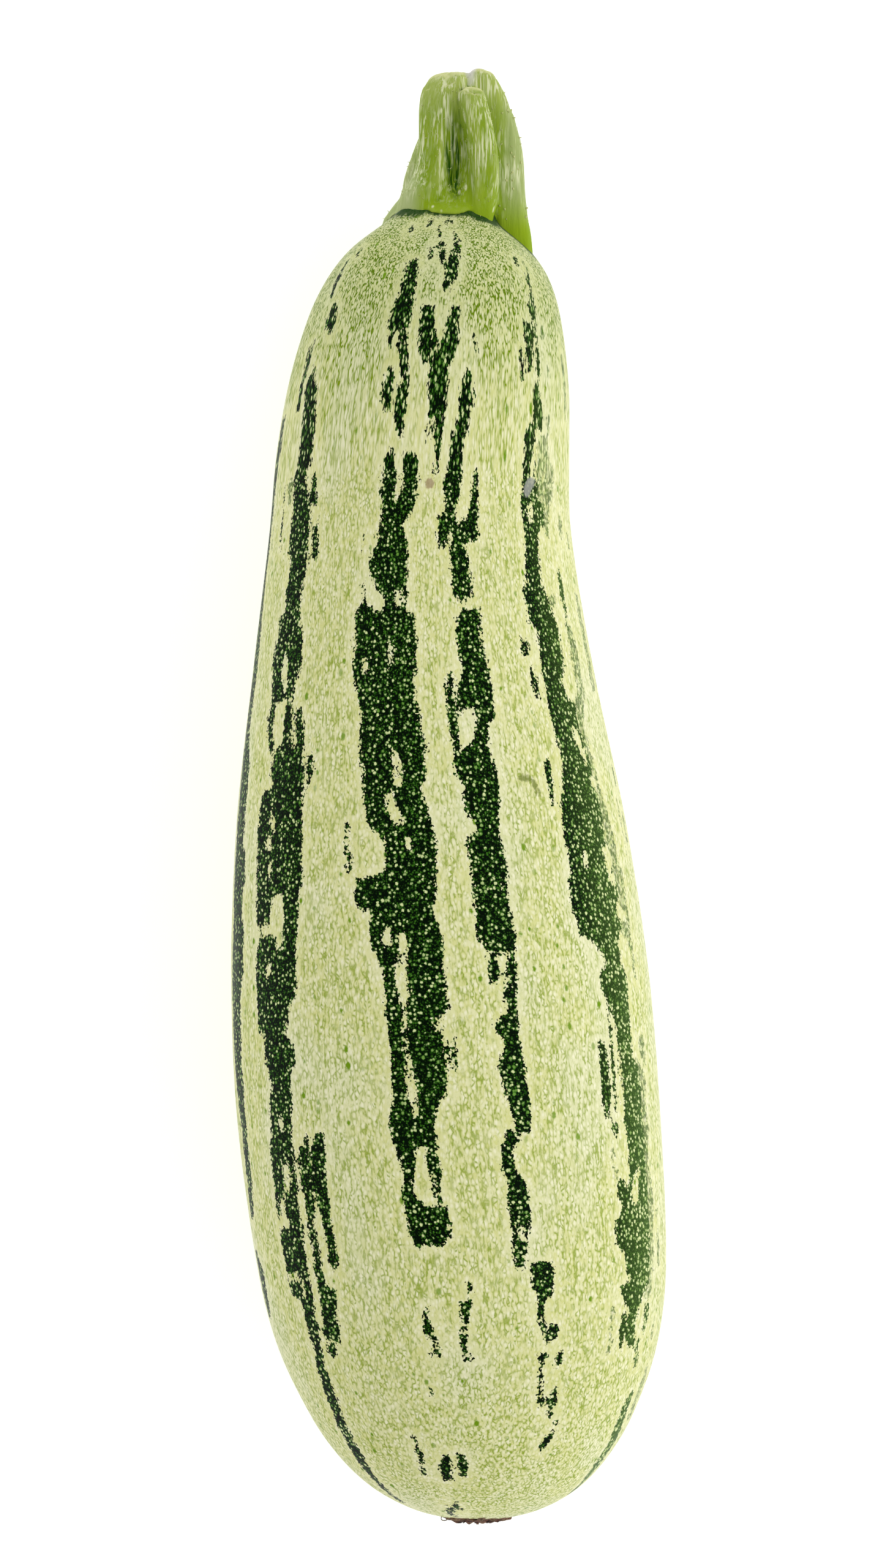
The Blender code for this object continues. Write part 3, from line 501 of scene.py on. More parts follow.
FAR_FROM_A_STRIPE = 6.0  # the depth outside a stripe is measured up to here
PATTERN_STRETCH_AT = 41.0  # half-width at which the cells of the skin have their true size
PATTERN_STRETCH_FROM = -60.0
PATTERN_STRETCH_MOST = 1.5
LONG_CELLS_FROM = 60.0  # past this place the cells of the skin get longer towards the stem
LONG_CELLS_SHARE = 0.5
WEAK_FROM, WEAK_FADE, WEAK_TO = 42.0, 26.0, 110.0  # degrees between which the stripes are lighter
BASE_REACH = 3.0  # how far from the stem the skin still knows its distance to it
NEAR_STEM_FROM = 90.0
# Painted shadow on the skin where it meets the stem, darkest at these crescents.
STEM_SHADOW_FADE = 1.1
STEM_SHADOW_CRESCENTS = (  # degrees from the top, and how dark the painted shadow on the skin is there where it meets the stem
    (-180.0, 0.6), (-75.0, 0.5), (-62.0, 1.0), (-24.0, 1.0), (-14.0, 0.3), (22.0, 0.3), (30.0, 1.0),
    (66.0, 1.0), (82.0, 0.6), (180.0, 0.6),
)

SCAR_CENTRE = (5.6, -142.2)  # in X and along the fruit
SCAR_RADIUS = 6.5
SCAR_SEED = 21
FLAKE_RINGS = (  # distance from the middle, how many petal ends, and their length and width
    (5.4, 11, 0.7, 1.9), (3.0, 10, 0.9, 1.7), (1.2, 6, 1.1, 1.3),
)
FLAKE_ASIDE = (-0.35, 0.35)  # how far it strays round the ring, as a share of the gap to the next
FLAKE_REACH, FLAKE_LENGTH, FLAKE_WIDTH = (0.85, 1.1), (0.6, 1.15), (0.7, 1.2)  # shares of the ring's
FLAKE_CURL, FLAKE_TWIST = (0.2, 1.1), (-0.8, 0.8)
THREAD = (  # from the scar's left edge
    (0.6, 1.6, 0.4), (-0.4, 0.9, 1.0), (-0.9, 0.3, 1.6), (-0.2, -0.2, 1.5), (0.5, 0.1, 2.0),
)
THREAD_THICKNESS = 0.09
CRUST_THICKNESS = 1.2
CRUST_INSETS = 9
CRUST_RAGGED = 0.30  # how much its rim strays, as a share of its radius
CRUST_DOME, CRUST_LUMPS, CRUST_RAYS = 0.42, 0.55, 0.5  # how high each stands
FLAKE_THICKNESS = 0.16

DIM_SIDE = (-0.5, -0.84, 0.2)  # the direction from which less light comes
DIM_SIDE_SHARE = 0.3
SKY_SIDES, SKY_OVERHEAD = 1.2, 0.58
KEY_LIGHT = ((1.2, -0.3, 1.1), 1.2, 5.1)  # its place and its size in metres, and its power
FLOOR_SIZE = 6.0
FLOOR_DROP = 0.0002
FLOOR_GLOW = 0.45

# Colours in linear light. Where there are two, the material mixes from the first to the second.
# The tints are those of the olive, tan and grey marks.
DEEP_GREENS = ((0.0001, 0.0012, 0.0001), (0.0006, 0.0065, 0.0005))
WEAK_GREEN = (0.055, 0.125, 0.012)
SPECK_GREENS = ((0.045, 0.17, 0.01), (0.22, 0.35, 0.08))
HALO_GREENS = ((0.022, 0.12, 0.004), (0.10, 0.20, 0.025))
DIM_FLECKS = ((0.14, 0.29, 0.045), (0.36, 0.47, 0.15))
BRIGHT_FLECK = (0.66, 0.72, 0.35)
CREAMS = ((0.62, 0.635, 0.235), (0.69, 0.695, 0.315))
BLOOM = (0.70, 0.72, 0.45)
PALE_OVAL = (0.87, 0.85, 0.60)
SHOULDER_CREAM = (0.46, 0.51, 0.21)
NET_GREENS = ((0.225, 0.32, 0.003), (0.10, 0.18, 0.002))
HAIRLINE_GREEN = (0.28, 0.37, 0.04)
DOT_GREEN = (0.15, 0.28, 0.006)
MARK_TINTS = ((0.17, 0.21, 0.035), (0.36, 0.27, 0.15), (0.30, 0.31, 0.27))
# Painted shadow on the skin where it meets the stem.
STEM_SHADOW_GREEN = (0.012, 0.05, 0.004)
LIMES = ((0.12, 0.225, 0.003), (0.28, 0.38, 0.018))
BASE_LIME = (0.25, 0.37, 0.008)
FADED_LIME = (0.40, 0.46, 0.22)
CREST_LIME = (0.46, 0.52, 0.17)
STREAK_CREAM = (0.68, 0.71, 0.43)
# Painted shade in the stem's grooves.
GROOVE_SHADE_GREEN = (0.012, 0.062, 0.0005)
STEM_SPECK = (0.13, 0.07, 0.02)
DRY_CUT = (0.58, 0.60, 0.27)
PITH_GREY = (0.62, 0.60, 0.58)
SCAR_BROWNS = ((0.012, 0.005, 0.004), (0.14, 0.055, 0.035))
CORK = (0.30, 0.20, 0.11)
SCAR_FIBRE = (0.24, 0.14, 0.075)

# The camera looks straight down from this place, in the growth frame's units above the floor.
CAMERA_PLACE = (-1.815, 1.577, 1140.4)
CAMERA_LENS = 129.16


def smooth_through(stations, at):
    """Values at a place along a smooth curve through the stations, whose first value is the place."""
    last = len(stations) - 1
    i = next((n for n in range(last) if at <= stations[n + 1][0]), last - 1)
    here, there = stations[i], stations[i + 1]
    before, after = stations[max(i - 1, 0)], stations[min(i + 2, last)]
    span = there[0] - here[0]
    t = (at - here[0]) / span
    values = []
    for k in range(1, len(here)):
        leave = (there[k] - before[k]) / (there[0] - before[0]) * span
        arrive = (after[k] - here[k]) / (after[0] - here[0]) * span
        values.append(
            (2 * t**3 - 3 * t**2 + 1) * here[k]
            + (t**3 - 2 * t**2 + t) * leave
            + (3 * t**2 - 2 * t**3) * there[k]
            + (t**3 - t**2) * arrive
        )
    return values


def spaced(first, last, count):
    return [first + (last - first) * n / (count - 1) for n in range(count)]


def spaced_close_at_ends(first, last, count):
    return [first + (last - first) * (1 - math.cos(turn)) / 2 for turn in spaced(0.0, math.pi, count)]


def fruit_section(along):
    """The fruit's half-width and the X of its axis."""
    squares = [(place, width * width, x) for place, width, x in FRUIT_STATIONS]
    square, x = smooth_through(squares, along)
    return math.sqrt(max(square, 0.0)), x


# Modelling


def select_only(made):
    bpy.ops.object.select_all(action="DESELECT")
    made.select_set(True)
    bpy.context.view_layer.objects.active = made


def add_primitive(operator, **settings):
    bpy.ops.object.select_all(action="DESELECT")
    operator(**settings)
    return bpy.context.object


def apply_place(made):
    """Puts the object's own place and turn into its points."""
    select_only(made)
    bpy.ops.object.transform_apply(location=True, rotation=True, scale=True)


def edit_all(made):
    select_only(made)
    bpy.ops.object.mode_set(mode="EDIT")
    bpy.ops.mesh.select_all(action="SELECT")


def apply_modifier(made, kind, **settings):
    modifier = made.modifiers.new(kind.title(), kind)
    for name, value in settings.items():
        setattr(modifier, name, value)
    select_only(made)
    bpy.ops.object.modifier_apply(modifier=modifier.name)


def subdivide_smoothly(made, levels):
    apply_modifier(made, "SUBSURF", levels=levels, render_levels=levels)


def join_all(made, others):
    select_only(made)
    for other in others:
        other.select_set(True)
    bpy.ops.object.join()


def add_object(name, data):
    made = bpy.data.objects.new(name, data)
    bpy.context.scene.collection.objects.link(made)
    return made


def face_outwards(made):
    edit_all(made)
    bpy.ops.mesh.normals_make_consistent(inside=False)
    bpy.ops.object.mode_set(mode="OBJECT")


def close_with_tip(step):
    """Extrudes the selected ring by a step and gathers it into one tip."""
    bpy.ops.mesh.extrude_region_move(TRANSFORM_OT_translate={"value": step * MM})
    bpy.ops.mesh.merge(type="CENTER")


def select_ring(made, first, count):
    bpy.ops.mesh.select_all(action="DESELECT")
    mesh = bmesh.from_edit_mesh(made.data)
    mesh.verts.ensure_lookup_table()
    for vertex in mesh.verts[first : first + count]:
        vertex.select = True
    mesh.select_flush(True)
    bmesh.update_edit_mesh(made.data)


def loft(name, sides, rings, start_tip, end_tip, squareness=1.0):
    """A closed skin drawn out along rings, each with its centre, half-width and half-height. It starts
    from a circle, which is extruded and resized from ring to ring."""
    centre, width, height = rings[0]
    made = add_primitive(
        bpy.ops.mesh.primitive_circle_add, vertices=sides, radius=MM,
        location=centre * MM, rotation=(math.pi / 2, 0, 0),
    )
    made.name = name
    made.data.name = name
    for vertex in made.data.vertices:
        for k in (0, 1):
            share = vertex.co[k] / MM
            vertex.co[k] = math.copysign(abs(share) ** squareness, share) * MM
    edit_all(made)
    bpy.ops.transform.resize(value=(width, 1, height), center_override=centre * MM)
    for here, there in zip(rings, rings[1:]):
        bpy.ops.mesh.extrude_region_move(TRANSFORM_OT_translate={"value": (there[0] - here[0]) * MM})
        bpy.ops.transform.resize(
            value=(there[1] / here[1], 1, there[2] / here[2]), center_override=there[0] * MM
        )
    close_with_tip(end_tip - rings[-1][0])
    select_ring(made, 0, sides)
    close_with_tip(start_tip - centre)
    bpy.ops.object.mode_set(mode="OBJECT")
    apply_place(made)
    face_outwards(made)
    return made


def points_of(made):
    """The vertices in millimetres, as an array that can be worked on."""
    flat = np.empty(len(made.data.vertices) * 3, np.float32)
    made.data.vertices.foreach_get("co", flat)
    return flat.reshape(-1, 3).astype(float) / MM


def move_points(made, points):
    made.data.vertices.foreach_set("co", (points * MM).astype(np.float32).ravel())
    made.data.update()


def normals_of(made):
    flat = np.empty(len(made.data.vertices) * 3, np.float32)
    made.data.vertices.foreach_get("normal", flat)
    return flat.reshape(-1, 3).astype(float)


def give_attribute(made, name, values):
    """Stores a number or a vector at each vertex, for the material to read."""
    kind, field = ("FLOAT", "value") if values.ndim == 1 else ("FLOAT_VECTOR", "vector")
    stored = made.data.attributes.new(name, kind, "POINT")
    stored.data.foreach_set(field, values.astype(np.float32).ravel())


def lay_down(made):
    """Moves a piece from the growth frame onto the floor. What would go into the floor is flattened."""
    made.data.transform(LYING)
    points = points_of(made)
    points[:, 2] = np.maximum(points[:, 2], 0.0)
    move_points(made, points)
    made.data.shade_smooth()


def finish_piece(made, node, material):
    made.data.materials.clear()
    made.data.materials.append(material)
    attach(made, "root")
    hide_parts(node)


# The fruit


def rib_angles():
    axis_x = fruit_section(RIB_START)[1]
    angles = []
    for _, stations in STEM_RIDGES.values():
        x, z = smooth_through(stations, RIB_START)[:2]
        angles.append(math.degrees(math.atan2(x - axis_x, z)))
    return angles


def section_arrays(along):
    """The half-width and the axis's X for many places at once, read between close steps."""
    steps = spaced(FRUIT_STATIONS[0][0], FRUIT_STATIONS[-1][0], 1200)
    widths, axes = zip(*(fruit_section(step) for step in steps))
    return np.interp(along, steps, widths), np.interp(along, steps, axes)


def around_and_along(points):
    """Where each point is on the fruit: degrees from the top, place, half-width and axis there."""
    widths, axes = section_arrays(points[:, 1])
    across, up = points[:, 0] - axes, points[:, 2] / HEIGHT_TO_WIDTH
    return np.degrees(np.arctan2(across, up)), points[:, 1], widths, axes


def rib_reach(around, along):
    """How much farther out the fruit reaches for the ribs that run from the stem's ridges onto its
    shoulder, as a factor. It is below 1 in the dips between them."""
    apart = [(around - rib + 180.0) % 360.0 - 180.0 for rib in rib_angles()]
    raised = sum(np.exp(-((gap / RIB_SPREAD) ** 2)) for gap in apart)
    fade = np.exp(-np.maximum(RIB_START - along, 0.0) / RIB_FADE)
    return 1 + RIB_SHARE * fade * (raised - RIB_MIDDLE)


def raise_ribs(points):
    around, along, _, axes = around_and_along(points)
    reach = rib_reach(around, along)
    points[:, 0] = axes + (points[:, 0] - axes) * reach
    points[:, 2] *= reach


def make_uneven(points):
    """Presses shallow waves into the skin, longer along the fruit than across it, and small dimples."""
    around, along, widths, axes = around_and_along(points)
    turn = np.radians(around)
    pressed = np.empty(len(points))
    for n, (angle, place) in enumerate(zip(turn, along)):
        across, up = math.sin(angle) * WAVES_ROUND, math.cos(angle) * WAVES_ROUND
        spot = Vector((across, place / WAVE_LENGTH, up))
        pressed[n] = noise.noise(spot) + DIMPLE_SHARE * noise.noise(spot * DIMPLE_FINENESS)
    inward = SKIN_UNEVEN * (0.75 + 0.5 * pressed) / np.maximum(widths, 8.0)
    points[:, 0] = axes + (points[:, 0] - axes) * (1 - inward)
    points[:, 2] *= 1 - inward


def distance_into(band, around, along, scale):
    """How far inside a band each point is, in millimetres, and below nothing how far outside."""
    outline = [(left, place) for place, left, _ in band]
    outline += [(right, place) for place, _, right in reversed(band)]
    nearest = np.full(len(around), np.inf)
    inside = np.zeros(len(around), bool)
    for (a, p), (b, q) in zip(outline, outline[1:] + outline[:1]):
        edge_x, edge_y = (b - a) * scale, q - p
        to_x, to_y = (around - a) * scale, along - p
        length = edge_x**2 + edge_y**2
        share = np.clip((to_x * edge_x + to_y * edge_y) / np.maximum(length, 1e-9), 0.0, 1.0)
        gap = np.hypot(to_x - share * edge_x, to_y - share * edge_y)
        nearest = np.minimum(nearest, gap)
        if p != q:
            crosses = (p > along) != (q > along)
            inside ^= crosses & (around < a + (along - p) * (b - a) / (q - p))
    return np.where(inside, nearest, -nearest)


def depth_in(bands, around, along, scale):
    """How far inside the nearest of the bands each point is."""
    deepest = np.full(len(around), -FAR_FROM_A_STRIPE)
    for band in bands:
        places = [place for place, _, _ in band]
        angles = [angle for _, left, right in band for angle in (left, right)]
        middle = (min(angles) + max(angles)) / 2
        turned = (around - middle + 180.0) % 360.0 - 180.0 + middle
        reach = FAR_FROM_A_STRIPE / scale
        close = (along > min(places) - FAR_FROM_A_STRIPE) & (along < max(places) + FAR_FROM_A_STRIPE)
        close &= (turned > min(angles) - reach) & (turned < max(angles) + reach)
        if close.any():
            depth = distance_into(band, turned[close], along[close], scale[close])
            deepest[close] = np.maximum(deepest[close], depth)
    return deepest


def hidden_piece(draw, middle, breadth, start, end):
    """One ragged piece of a stripe, pointed at both ends."""
    band, place, lean = [], start, 0.0
    while place > end:
        from_end = min(start - place, place - end)
        taper = min(1.0, 0.1 + from_end / HIDDEN_PIECE_TAPER)
        first, length = HIDDEN_SWELL
        swell = 0.35 + 0.65 * math.sin(math.pi * min(max((first - place) / length, 0.0), 1.0))
        half = 0.5 * breadth * taper * swell * draw.uniform(*HIDDEN_PIECE_RAGGED)
        lean += draw.uniform(-HIDDEN_PIECE_LEAN, HIDDEN_PIECE_LEAN) - 0.1 * lean
        band.append((place, middle + lean - half, middle + lean + half))
        place -= draw.uniform(*HIDDEN_PIECE_STEP)
    return tuple(band)


def hidden_stripes():
    """Stripes for the side that lies towards the floor, each made of ragged pieces in a row with
    thin splinters beside them."""
    draw = random.Random(HIDDEN_STRIPE_SEED)
    bands = []
    for middle, breadth in HIDDEN_STRIPES:
        place = draw.uniform(*HIDDEN_STRIPE_STARTS)
        last = draw.uniform(*HIDDEN_STRIPE_ENDS)
        while place - last > HIDDEN_PIECE_LENGTH[0]:
            end = max(place - draw.uniform(*HIDDEN_PIECE_LENGTH), last)
            aside = middle + breadth * draw.uniform(-0.3, 0.3)
            bands.append(hidden_piece(draw, aside, breadth, place, end))
            if draw.random() < SPLINTER_SHARE:
                start = draw.uniform(end, place)
                beside = aside + draw.choice((-1, 1)) * (0.5 * breadth + 0.9 * SPLINTER_BREADTH)
                length = draw.uniform(*SPLINTER_LENGTH)
                bands.append(hidden_piece(draw, beside, SPLINTER_BREADTH, start, start - length))
            place = end - draw.uniform(*HIDDEN_PIECE_GAP)
    return bands


def cell_places(points, along, widths, axes):
    """Places in which the skin's cells get narrower where the fruit does, and longer at the stem."""
    narrow = PATTERN_STRETCH_AT / np.maximum(widths, 1.0)
    narrow = np.where(along > PATTERN_STRETCH_FROM, narrow, 1.0)
    stretch = np.clip(narrow, 1.0, PATTERN_STRETCH_MOST)
    last = FRUIT_STATIONS[-1][0]
    bends = (-last, LONG_CELLS_FROM, last)
    longest = LONG_CELLS_FROM + (last - LONG_CELLS_FROM) * LONG_CELLS_SHARE
    lengths = (-last, LONG_CELLS_FROM, longest)
    lengthwise = np.where(along < -last, along, np.interp(along, bends, lengths))
    return np.stack(((points[:, 0] - axes) * stretch, lengthwise, points[:, 2] * stretch), axis=1)


def mark_skin(made, stem):
    """Stores what the skin's material reads: the depth inside the dark stripes and small marks, how
    much a point is on the side with lighter stripes, its place, and its distance to the stem, which
    sets the painted shadow round the stem's foot."""
    points = points_of(made)
    around, along, widths, axes = around_and_along(points)
    scale = np.radians(1.0) * np.maximum(widths, 3.0)
    windows = depth_in(PALE_WINDOWS, around, along, scale)
    stripes = STRIPES + tuple(hidden_stripes())
    for name, bands in (("stripe", stripes), ("faint_stripe", FAINT_STRIPES)):
        depth = np.minimum(depth_in(bands, around, along, scale), -windows)
        give_attribute(made, name, depth)
    marks = [depth_in(bands, around, along, scale) for bands in (OLIVE_MARKS, TAN_MARKS, GREY_MARKS)]
    give_attribute(made, "marks", np.stack(marks, axis=1))
    weak = np.clip((around - WEAK_FROM) / WEAK_FADE, 0.0, 1.0) * (around < WEAK_TO)
    give_attribute(made, "weak_side", weak)
    give_attribute(made, "cell_place", cell_places(points, along, widths, axes))
    give_attribute(made, "along", along)
    # The distance to the stem sets the painted shadow round the stem's foot.
    shaded = np.interp(around, *zip(*STEM_SHADOW_CRESCENTS))
    apart = distance_to(stem, points, along > NEAR_STEM_FROM)
    give_attribute(made, "stem_shadow_distance", apart + STEM_SHADOW_FADE * (1 - shaded))


def distance_to(other, points, where):
    """How far each of the points asked for is from the other piece, up to a reach."""
    tree = BVHTree.FromPolygons(
        [tuple(point) for point in points_of(other)],
        [tuple(face.vertices) for face in other.data.polygons],
    )
    distances = np.full(len(points), BASE_REACH)
    for n in np.nonzero(where)[0]:
        found = tree.find_nearest(Vector(points[n]), BASE_REACH)
        if found[3] is not None:
            distances[n] = found[3]
    return distances


def unroll_skin(made):
    """Gives the skin a map of its own: once round the fruit across, and along it upwards."""
    around, along, _, _ = around_and_along(points_of(made))
    across = (around + 180.0) / 360.0
    first, last = FRUIT_STATIONS[0][0], FRUIT_STATIONS[-1][0]
    upwards = (along - first) / (last - first)
    layer = made.data.uv_layers.new(name="OFBake")
    for face in made.data.polygons:
        corners = [across[v] for v in face.vertices]
        wraps = max(corners) - min(corners) > 0.5
        for loop, vertex, corner in zip(face.loop_indices, face.vertices, corners):
            u = corner + 1.0 if wraps and corner < 0.5 else corner
            layer.data[loop].uv = (min(u, 1.0), min(max(upwards[vertex], 0.0), 1.0))


def build_skin(stem):
    first, last = FRUIT_STATIONS[0], FRUIT_STATIONS[-1]
    rings = []
    for along in spaced_close_at_ends(first[0], last[0], SKIN_RINGS + 2)[1:-1]:
        width, x = fruit_section(along)
        rings.append((Vector((x, along, 0.0)), width, width * HEIGHT_TO_WIDTH))
    tips = [Vector((end[2], end[0], 0.0)) for end in (first, last)]
    skin = loft("skin", SKIN_SIDES, rings, *tips)
    subdivide_smoothly(skin, 2)
    points = points_of(skin)
    raise_ribs(points)
    make_uneven(points)
    move_points(skin, points)
    mark_skin(skin, stem)
    unroll_skin(skin)
    lay_down(skin)
    return skin


# The stem


def build_ridge(name, facing, stations):
    """One ridge, modelled as if it faced up and then turned about the stem."""
    turn = math.radians(facing)
    start, end = stations[0][0], stations[-1][0]
    rings = []
    for along in spaced_close_at_ends(start, end, RIDGE_RINGS)[:-1]:
        x, z, width, depth = smooth_through(stations, along)
        into_end = max(1 - (end - along) / RIDGE_END_ROUND, 0.0)
        share = math.sqrt(1 - RIDGE_END_NARROW * into_end**2)
        upright = (x * math.cos(turn) - z * math.sin(turn), x * math.sin(turn) + z * math.cos(turn))
        rings.append((Vector((upright[0], along, upright[1])), width * share, depth * share))
    tips = (rings[0][0], rings[-1][0] + Vector((0.0, end - rings[-1][0].y, 0.0)))
    ridge = loft(name, RIDGE_SIDES, rings, *tips, squareness=RIDGE_SQUARE)
    ridge.rotation_euler = (0.0, turn, 0.0)
    apply_place(ridge)
    return ridge


def build_core():
    rings = []
    for along in spaced(STEM_CORE[0][0], STEM_CORE[-1][0], RIDGE_RINGS):
        x, z, radius = smooth_through(STEM_CORE, along)
        rings.append((Vector((x, along, z)), radius, radius))
    dent = Vector((0.0, CORE_DENT, 0.0))
    return loft("core", 2 * RIDGE_SIDES, rings, rings[0][0], rings[-1][0] - dent)


def build_collar():
    """The stem's foot, which spreads over the fruit in lobes: a torus whose tube is flattened onto the
    fruit, from the lobes' edge up into the stem."""
    collar = add_primitive(
        bpy.ops.mesh.primitive_torus_add, major_segments=96, minor_segments=20,
        major_radius=COLLAR_ROUND * MM, minor_radius=MM, rotation=(math.pi / 2, 0, 0),
    )
    apply_place(collar)
    points = points_of(collar)
    degrees, edges = zip(*COLLAR_EDGE)
    for point in points:
        turn = math.atan2(point[0], point[2])
        around = math.degrees(turn)
        edge = float(np.interp(around, degrees, edges))
        outward = math.hypot(point[0], point[2]) - COLLAR_ROUND
        along = edge + (COLLAR_TOP - edge) * (point[1] + 1.0) / 2
        width, x = fruit_section(along)
        reach = width * rib_reach(around, along)
        reach += outward * (COLLAR_LIP if outward > 0 else COLLAR_ROOT)
        point[0] = x + reach * math.sin(turn)
        point[1] = along
        point[2] = reach * HEIGHT_TO_WIDTH * math.cos(turn)
    move_points(collar, points)
    face_outwards(collar)
    return collar


def average_round(points, edges, rounds):
    """Each point drawn to the middle of its neighbours, again and again."""
    count = np.bincount(edges.ravel(), minlength=len(points)).astype(float)[:, None]
    for _ in range(rounds):
        total = np.zeros_like(points)
        for k in range(3):
            total[:, k] += np.bincount(edges[:, 0], points[edges[:, 1], k], len(points))
            total[:, k] += np.bincount(edges[:, 1], points[edges[:, 0], k], len(points))
        points = 0.5 * points + 0.5 * total / np.maximum(count, 1.0)
    return points


def in_front_groove(points, normals):
    """How much each point belongs to the deep groove between the two front ridges."""
    middle = np.interp(points[:, 1], FRONT_GROOVE[0], FRONT_GROOVE[1])
    share = np.interp(points[:, 1], FRONT_GROOVE[0], FRONT_GROOVE[2])
    across = (points[:, 0] - middle) / FRONT_GROOVE_WIDTH
    return share * np.exp(-(across**2)) * np.clip(normals[:, 2] * 2.0, 0.0, 1.0)


def press_groove(made):
    """Widens the groove between the two front ridges, and makes the cut ends uneven."""
    points, normals = points_of(made), normals_of(made)
    points[:, 2] -= FRONT_GROOVE_DEPTH * in_front_groove(points, normals)
    for n in np.nonzero((normals[:, 1] > 0.3) & (points[:, 1] > CUT_ENDS_FROM))[0]:
        points[n, 1] -= CUT_UNEVEN * max(noise.noise(Vector(points[n]) * 0.55) + 0.15, 0.0)
    move_points(made, points)


def raise_fibres(made):
    """Fine ridges along the stem, which follow it lengthwise."""
    points, normals = points_of(made), normals_of(made)
    height = np.empty(len(points))
    for n, point in enumerate(points):
        spot = Vector(point * FIBRE_FINENESS)
        height[n] = noise.noise(spot) + 0.5 * noise.noise(spot * 2.3)
    sideways = 1.0 - np.abs(normals[:, 1])
    points += normals * (STEM_FIBRES * height * sideways)[:, None]
    move_points(made, points)


def add_bristles(made):
    """Short stiff hairs all over the stem, each a copy of one cone, and thick stubs on its right."""
    draw = random.Random(BRISTLE_SEED)
    points, normals = points_of(made), normals_of(made)
    low, high = BRISTLES_FROM_TO
    fitting = (points[:, 1] > low) & (points[:, 1] < high) & (np.abs(normals[:, 1]) < 0.6)
    fitting = np.nonzero(fitting)[0]
    pattern = add_primitive(
        bpy.ops.mesh.primitive_cone_add, vertices=5, radius1=1.0, radius2=0.28, depth=1.0,
        location=(0, 0, 0.5),
    )
    apply_place(pattern)
    bristles = []
    for _ in range(BRISTLE_COUNT):
        chosen = fitting[draw.randrange(len(fitting))]
        place, outward = Vector(points[chosen]), Vector(normals[chosen])
        lean = Vector([draw.uniform(*limits) for limits in BRISTLE_LEAN])
        turn = (outward + lean).to_track_quat("Z", "Y").to_matrix().to_4x4()
        thick, tall = draw.uniform(*BRISTLE_THICKNESS), draw.uniform(*BRISTLE_LENGTH)
        if place.x > WARTS_FROM:
            thick *= WART_BREADTH
        bristle = add_object("bristle", pattern.data.copy())
        rooted = Matrix.Scale(MM, 4) @ Matrix.Translation(place - outward * BRISTLE_ROOT)
        bristle.data.transform(rooted @ turn @ Matrix.Diagonal((thick, thick, tall, 1.0)))
        bristles.append(bristle)
    bpy.data.objects.remove(pattern)
    join_all(made, bristles)
    added = np.arange(len(made.data.vertices)) >= len(points)
    give_attribute(made, "bristle", added.astype(float))


def mark_stem(made):
    """Stores what the stem's material reads: how deep in a groove each point is, how much it belongs
    to a cut end, to the front groove and to the pith, and its place before the stem is laid down."""
    points, normals = points_of(made), normals_of(made)
    flat = np.empty(len(made.data.edges) * 2, np.int32)
    made.data.edges.foreach_get("vertices", flat)
    calm = average_round(points.copy(), flat.reshape(-1, 2), GROOVE_CALM)
    give_attribute(made, "groove", ((calm - points) * normals).sum(axis=1))
    facing_end = np.clip((normals[:, 1] - 0.4) / 0.3, 0.0, 1.0)
    give_attribute(made, "cut", facing_end * (points[:, 1] > DRY_CUT_FROM))
    give_attribute(made, "hollow", in_front_groove(points, normals))
    x, z, half_width, half_height = PITH_OVAL
    out = np.hypot((points[:, 0] - x) / half_width, (points[:, 2] - z) / half_height)
    give_attribute(made, "pith", np.clip((1 - out) / 0.3, 0.0, 1.0) * (points[:, 1] > PITH_FROM))
    give_attribute(made, "grown", points)


def build_stem():
    """The core and its ridges in one skin, with fibres along it."""
    stem = build_core()
    parts = [build_ridge(name, *shape) for name, shape in STEM_RIDGES.items()]
    parts.append(build_collar())
    join_all(stem, parts)
    stem.name = "cut_stem"
    apply_modifier(stem, "REMESH", mode="VOXEL", voxel_size=STEM_VOXEL * MM)
    apply_modifier(stem, "SMOOTH", factor=0.5, iterations=STEM_SMOOTHING)
    press_groove(stem)
    raise_fibres(stem)
    add_bristles(stem)
    mark_stem(stem)
    return stem


# The dried flower scar


def dome_depth(radius):
    """How far behind its pole the flower end is at a distance from the axis."""
    pole, _, _ = FRUIT_STATIONS[0]
    along, width, _ = FRUIT_STATIONS[1]
    return (along - pole) * (radius / width) ** 2


def build_crust():
    """A thin cracked crust on the flower end, with a ragged rim: a disc inset ring by ring, whose
    points are then raised and drawn to the round end."""
    x, pole = SCAR_CENTRE
    crust = add_primitive(
        bpy.ops.mesh.primitive_circle_add, vertices=72, radius=SCAR_RADIUS * MM, fill_type="NGON",
        location=Vector((x, pole, 0.0)) * MM, rotation=(math.pi / 2, 0, 0),
    )
    crust.name = "flower_scar"
    edit_all(crust)
    for _ in range(CRUST_INSETS):
        bpy.ops.mesh.inset(thickness=SCAR_RADIUS * MM / (CRUST_INSETS + 1.5))
    bpy.ops.mesh.poke()
    bpy.ops.object.mode_set(mode="OBJECT")
    apply_place(crust)
    subdivide_smoothly(crust, 1)
    points = points_of(crust)
    for point in points:
        across, up = point[0] - x, point[2]
        radius, turn = math.hypot(across, up), math.atan2(across, up)
        share = radius / SCAR_RADIUS
        ragged = noise.noise(Vector((math.sin(turn) * 3.1, 7.0, math.cos(turn) * 3.1)))
        radius *= 1 + share**2 * CRUST_RAGGED * ragged
        lumps = noise.noise(Vector((across * 0.9, 3.0, up * 0.9)))
        rays = noise.noise(Vector((math.sin(turn) * 5.0, radius * 0.15, math.cos(turn) * 5.0)))
        height = CRUST_DOME * (1 - share**3) + CRUST_LUMPS * lumps + CRUST_RAYS * rays * share
        point[0] = x + radius * math.sin(turn)
        point[2] = radius * math.cos(turn)
        point[1] = pole + dome_depth(radius) - max(height, 0.08 - 0.5 * share**6)
    move_points(crust, points)
    apply_modifier(crust, "SOLIDIFY", thickness=CRUST_THICKNESS * MM, offset=-1.0)
    face_outwards(crust)
    return crust


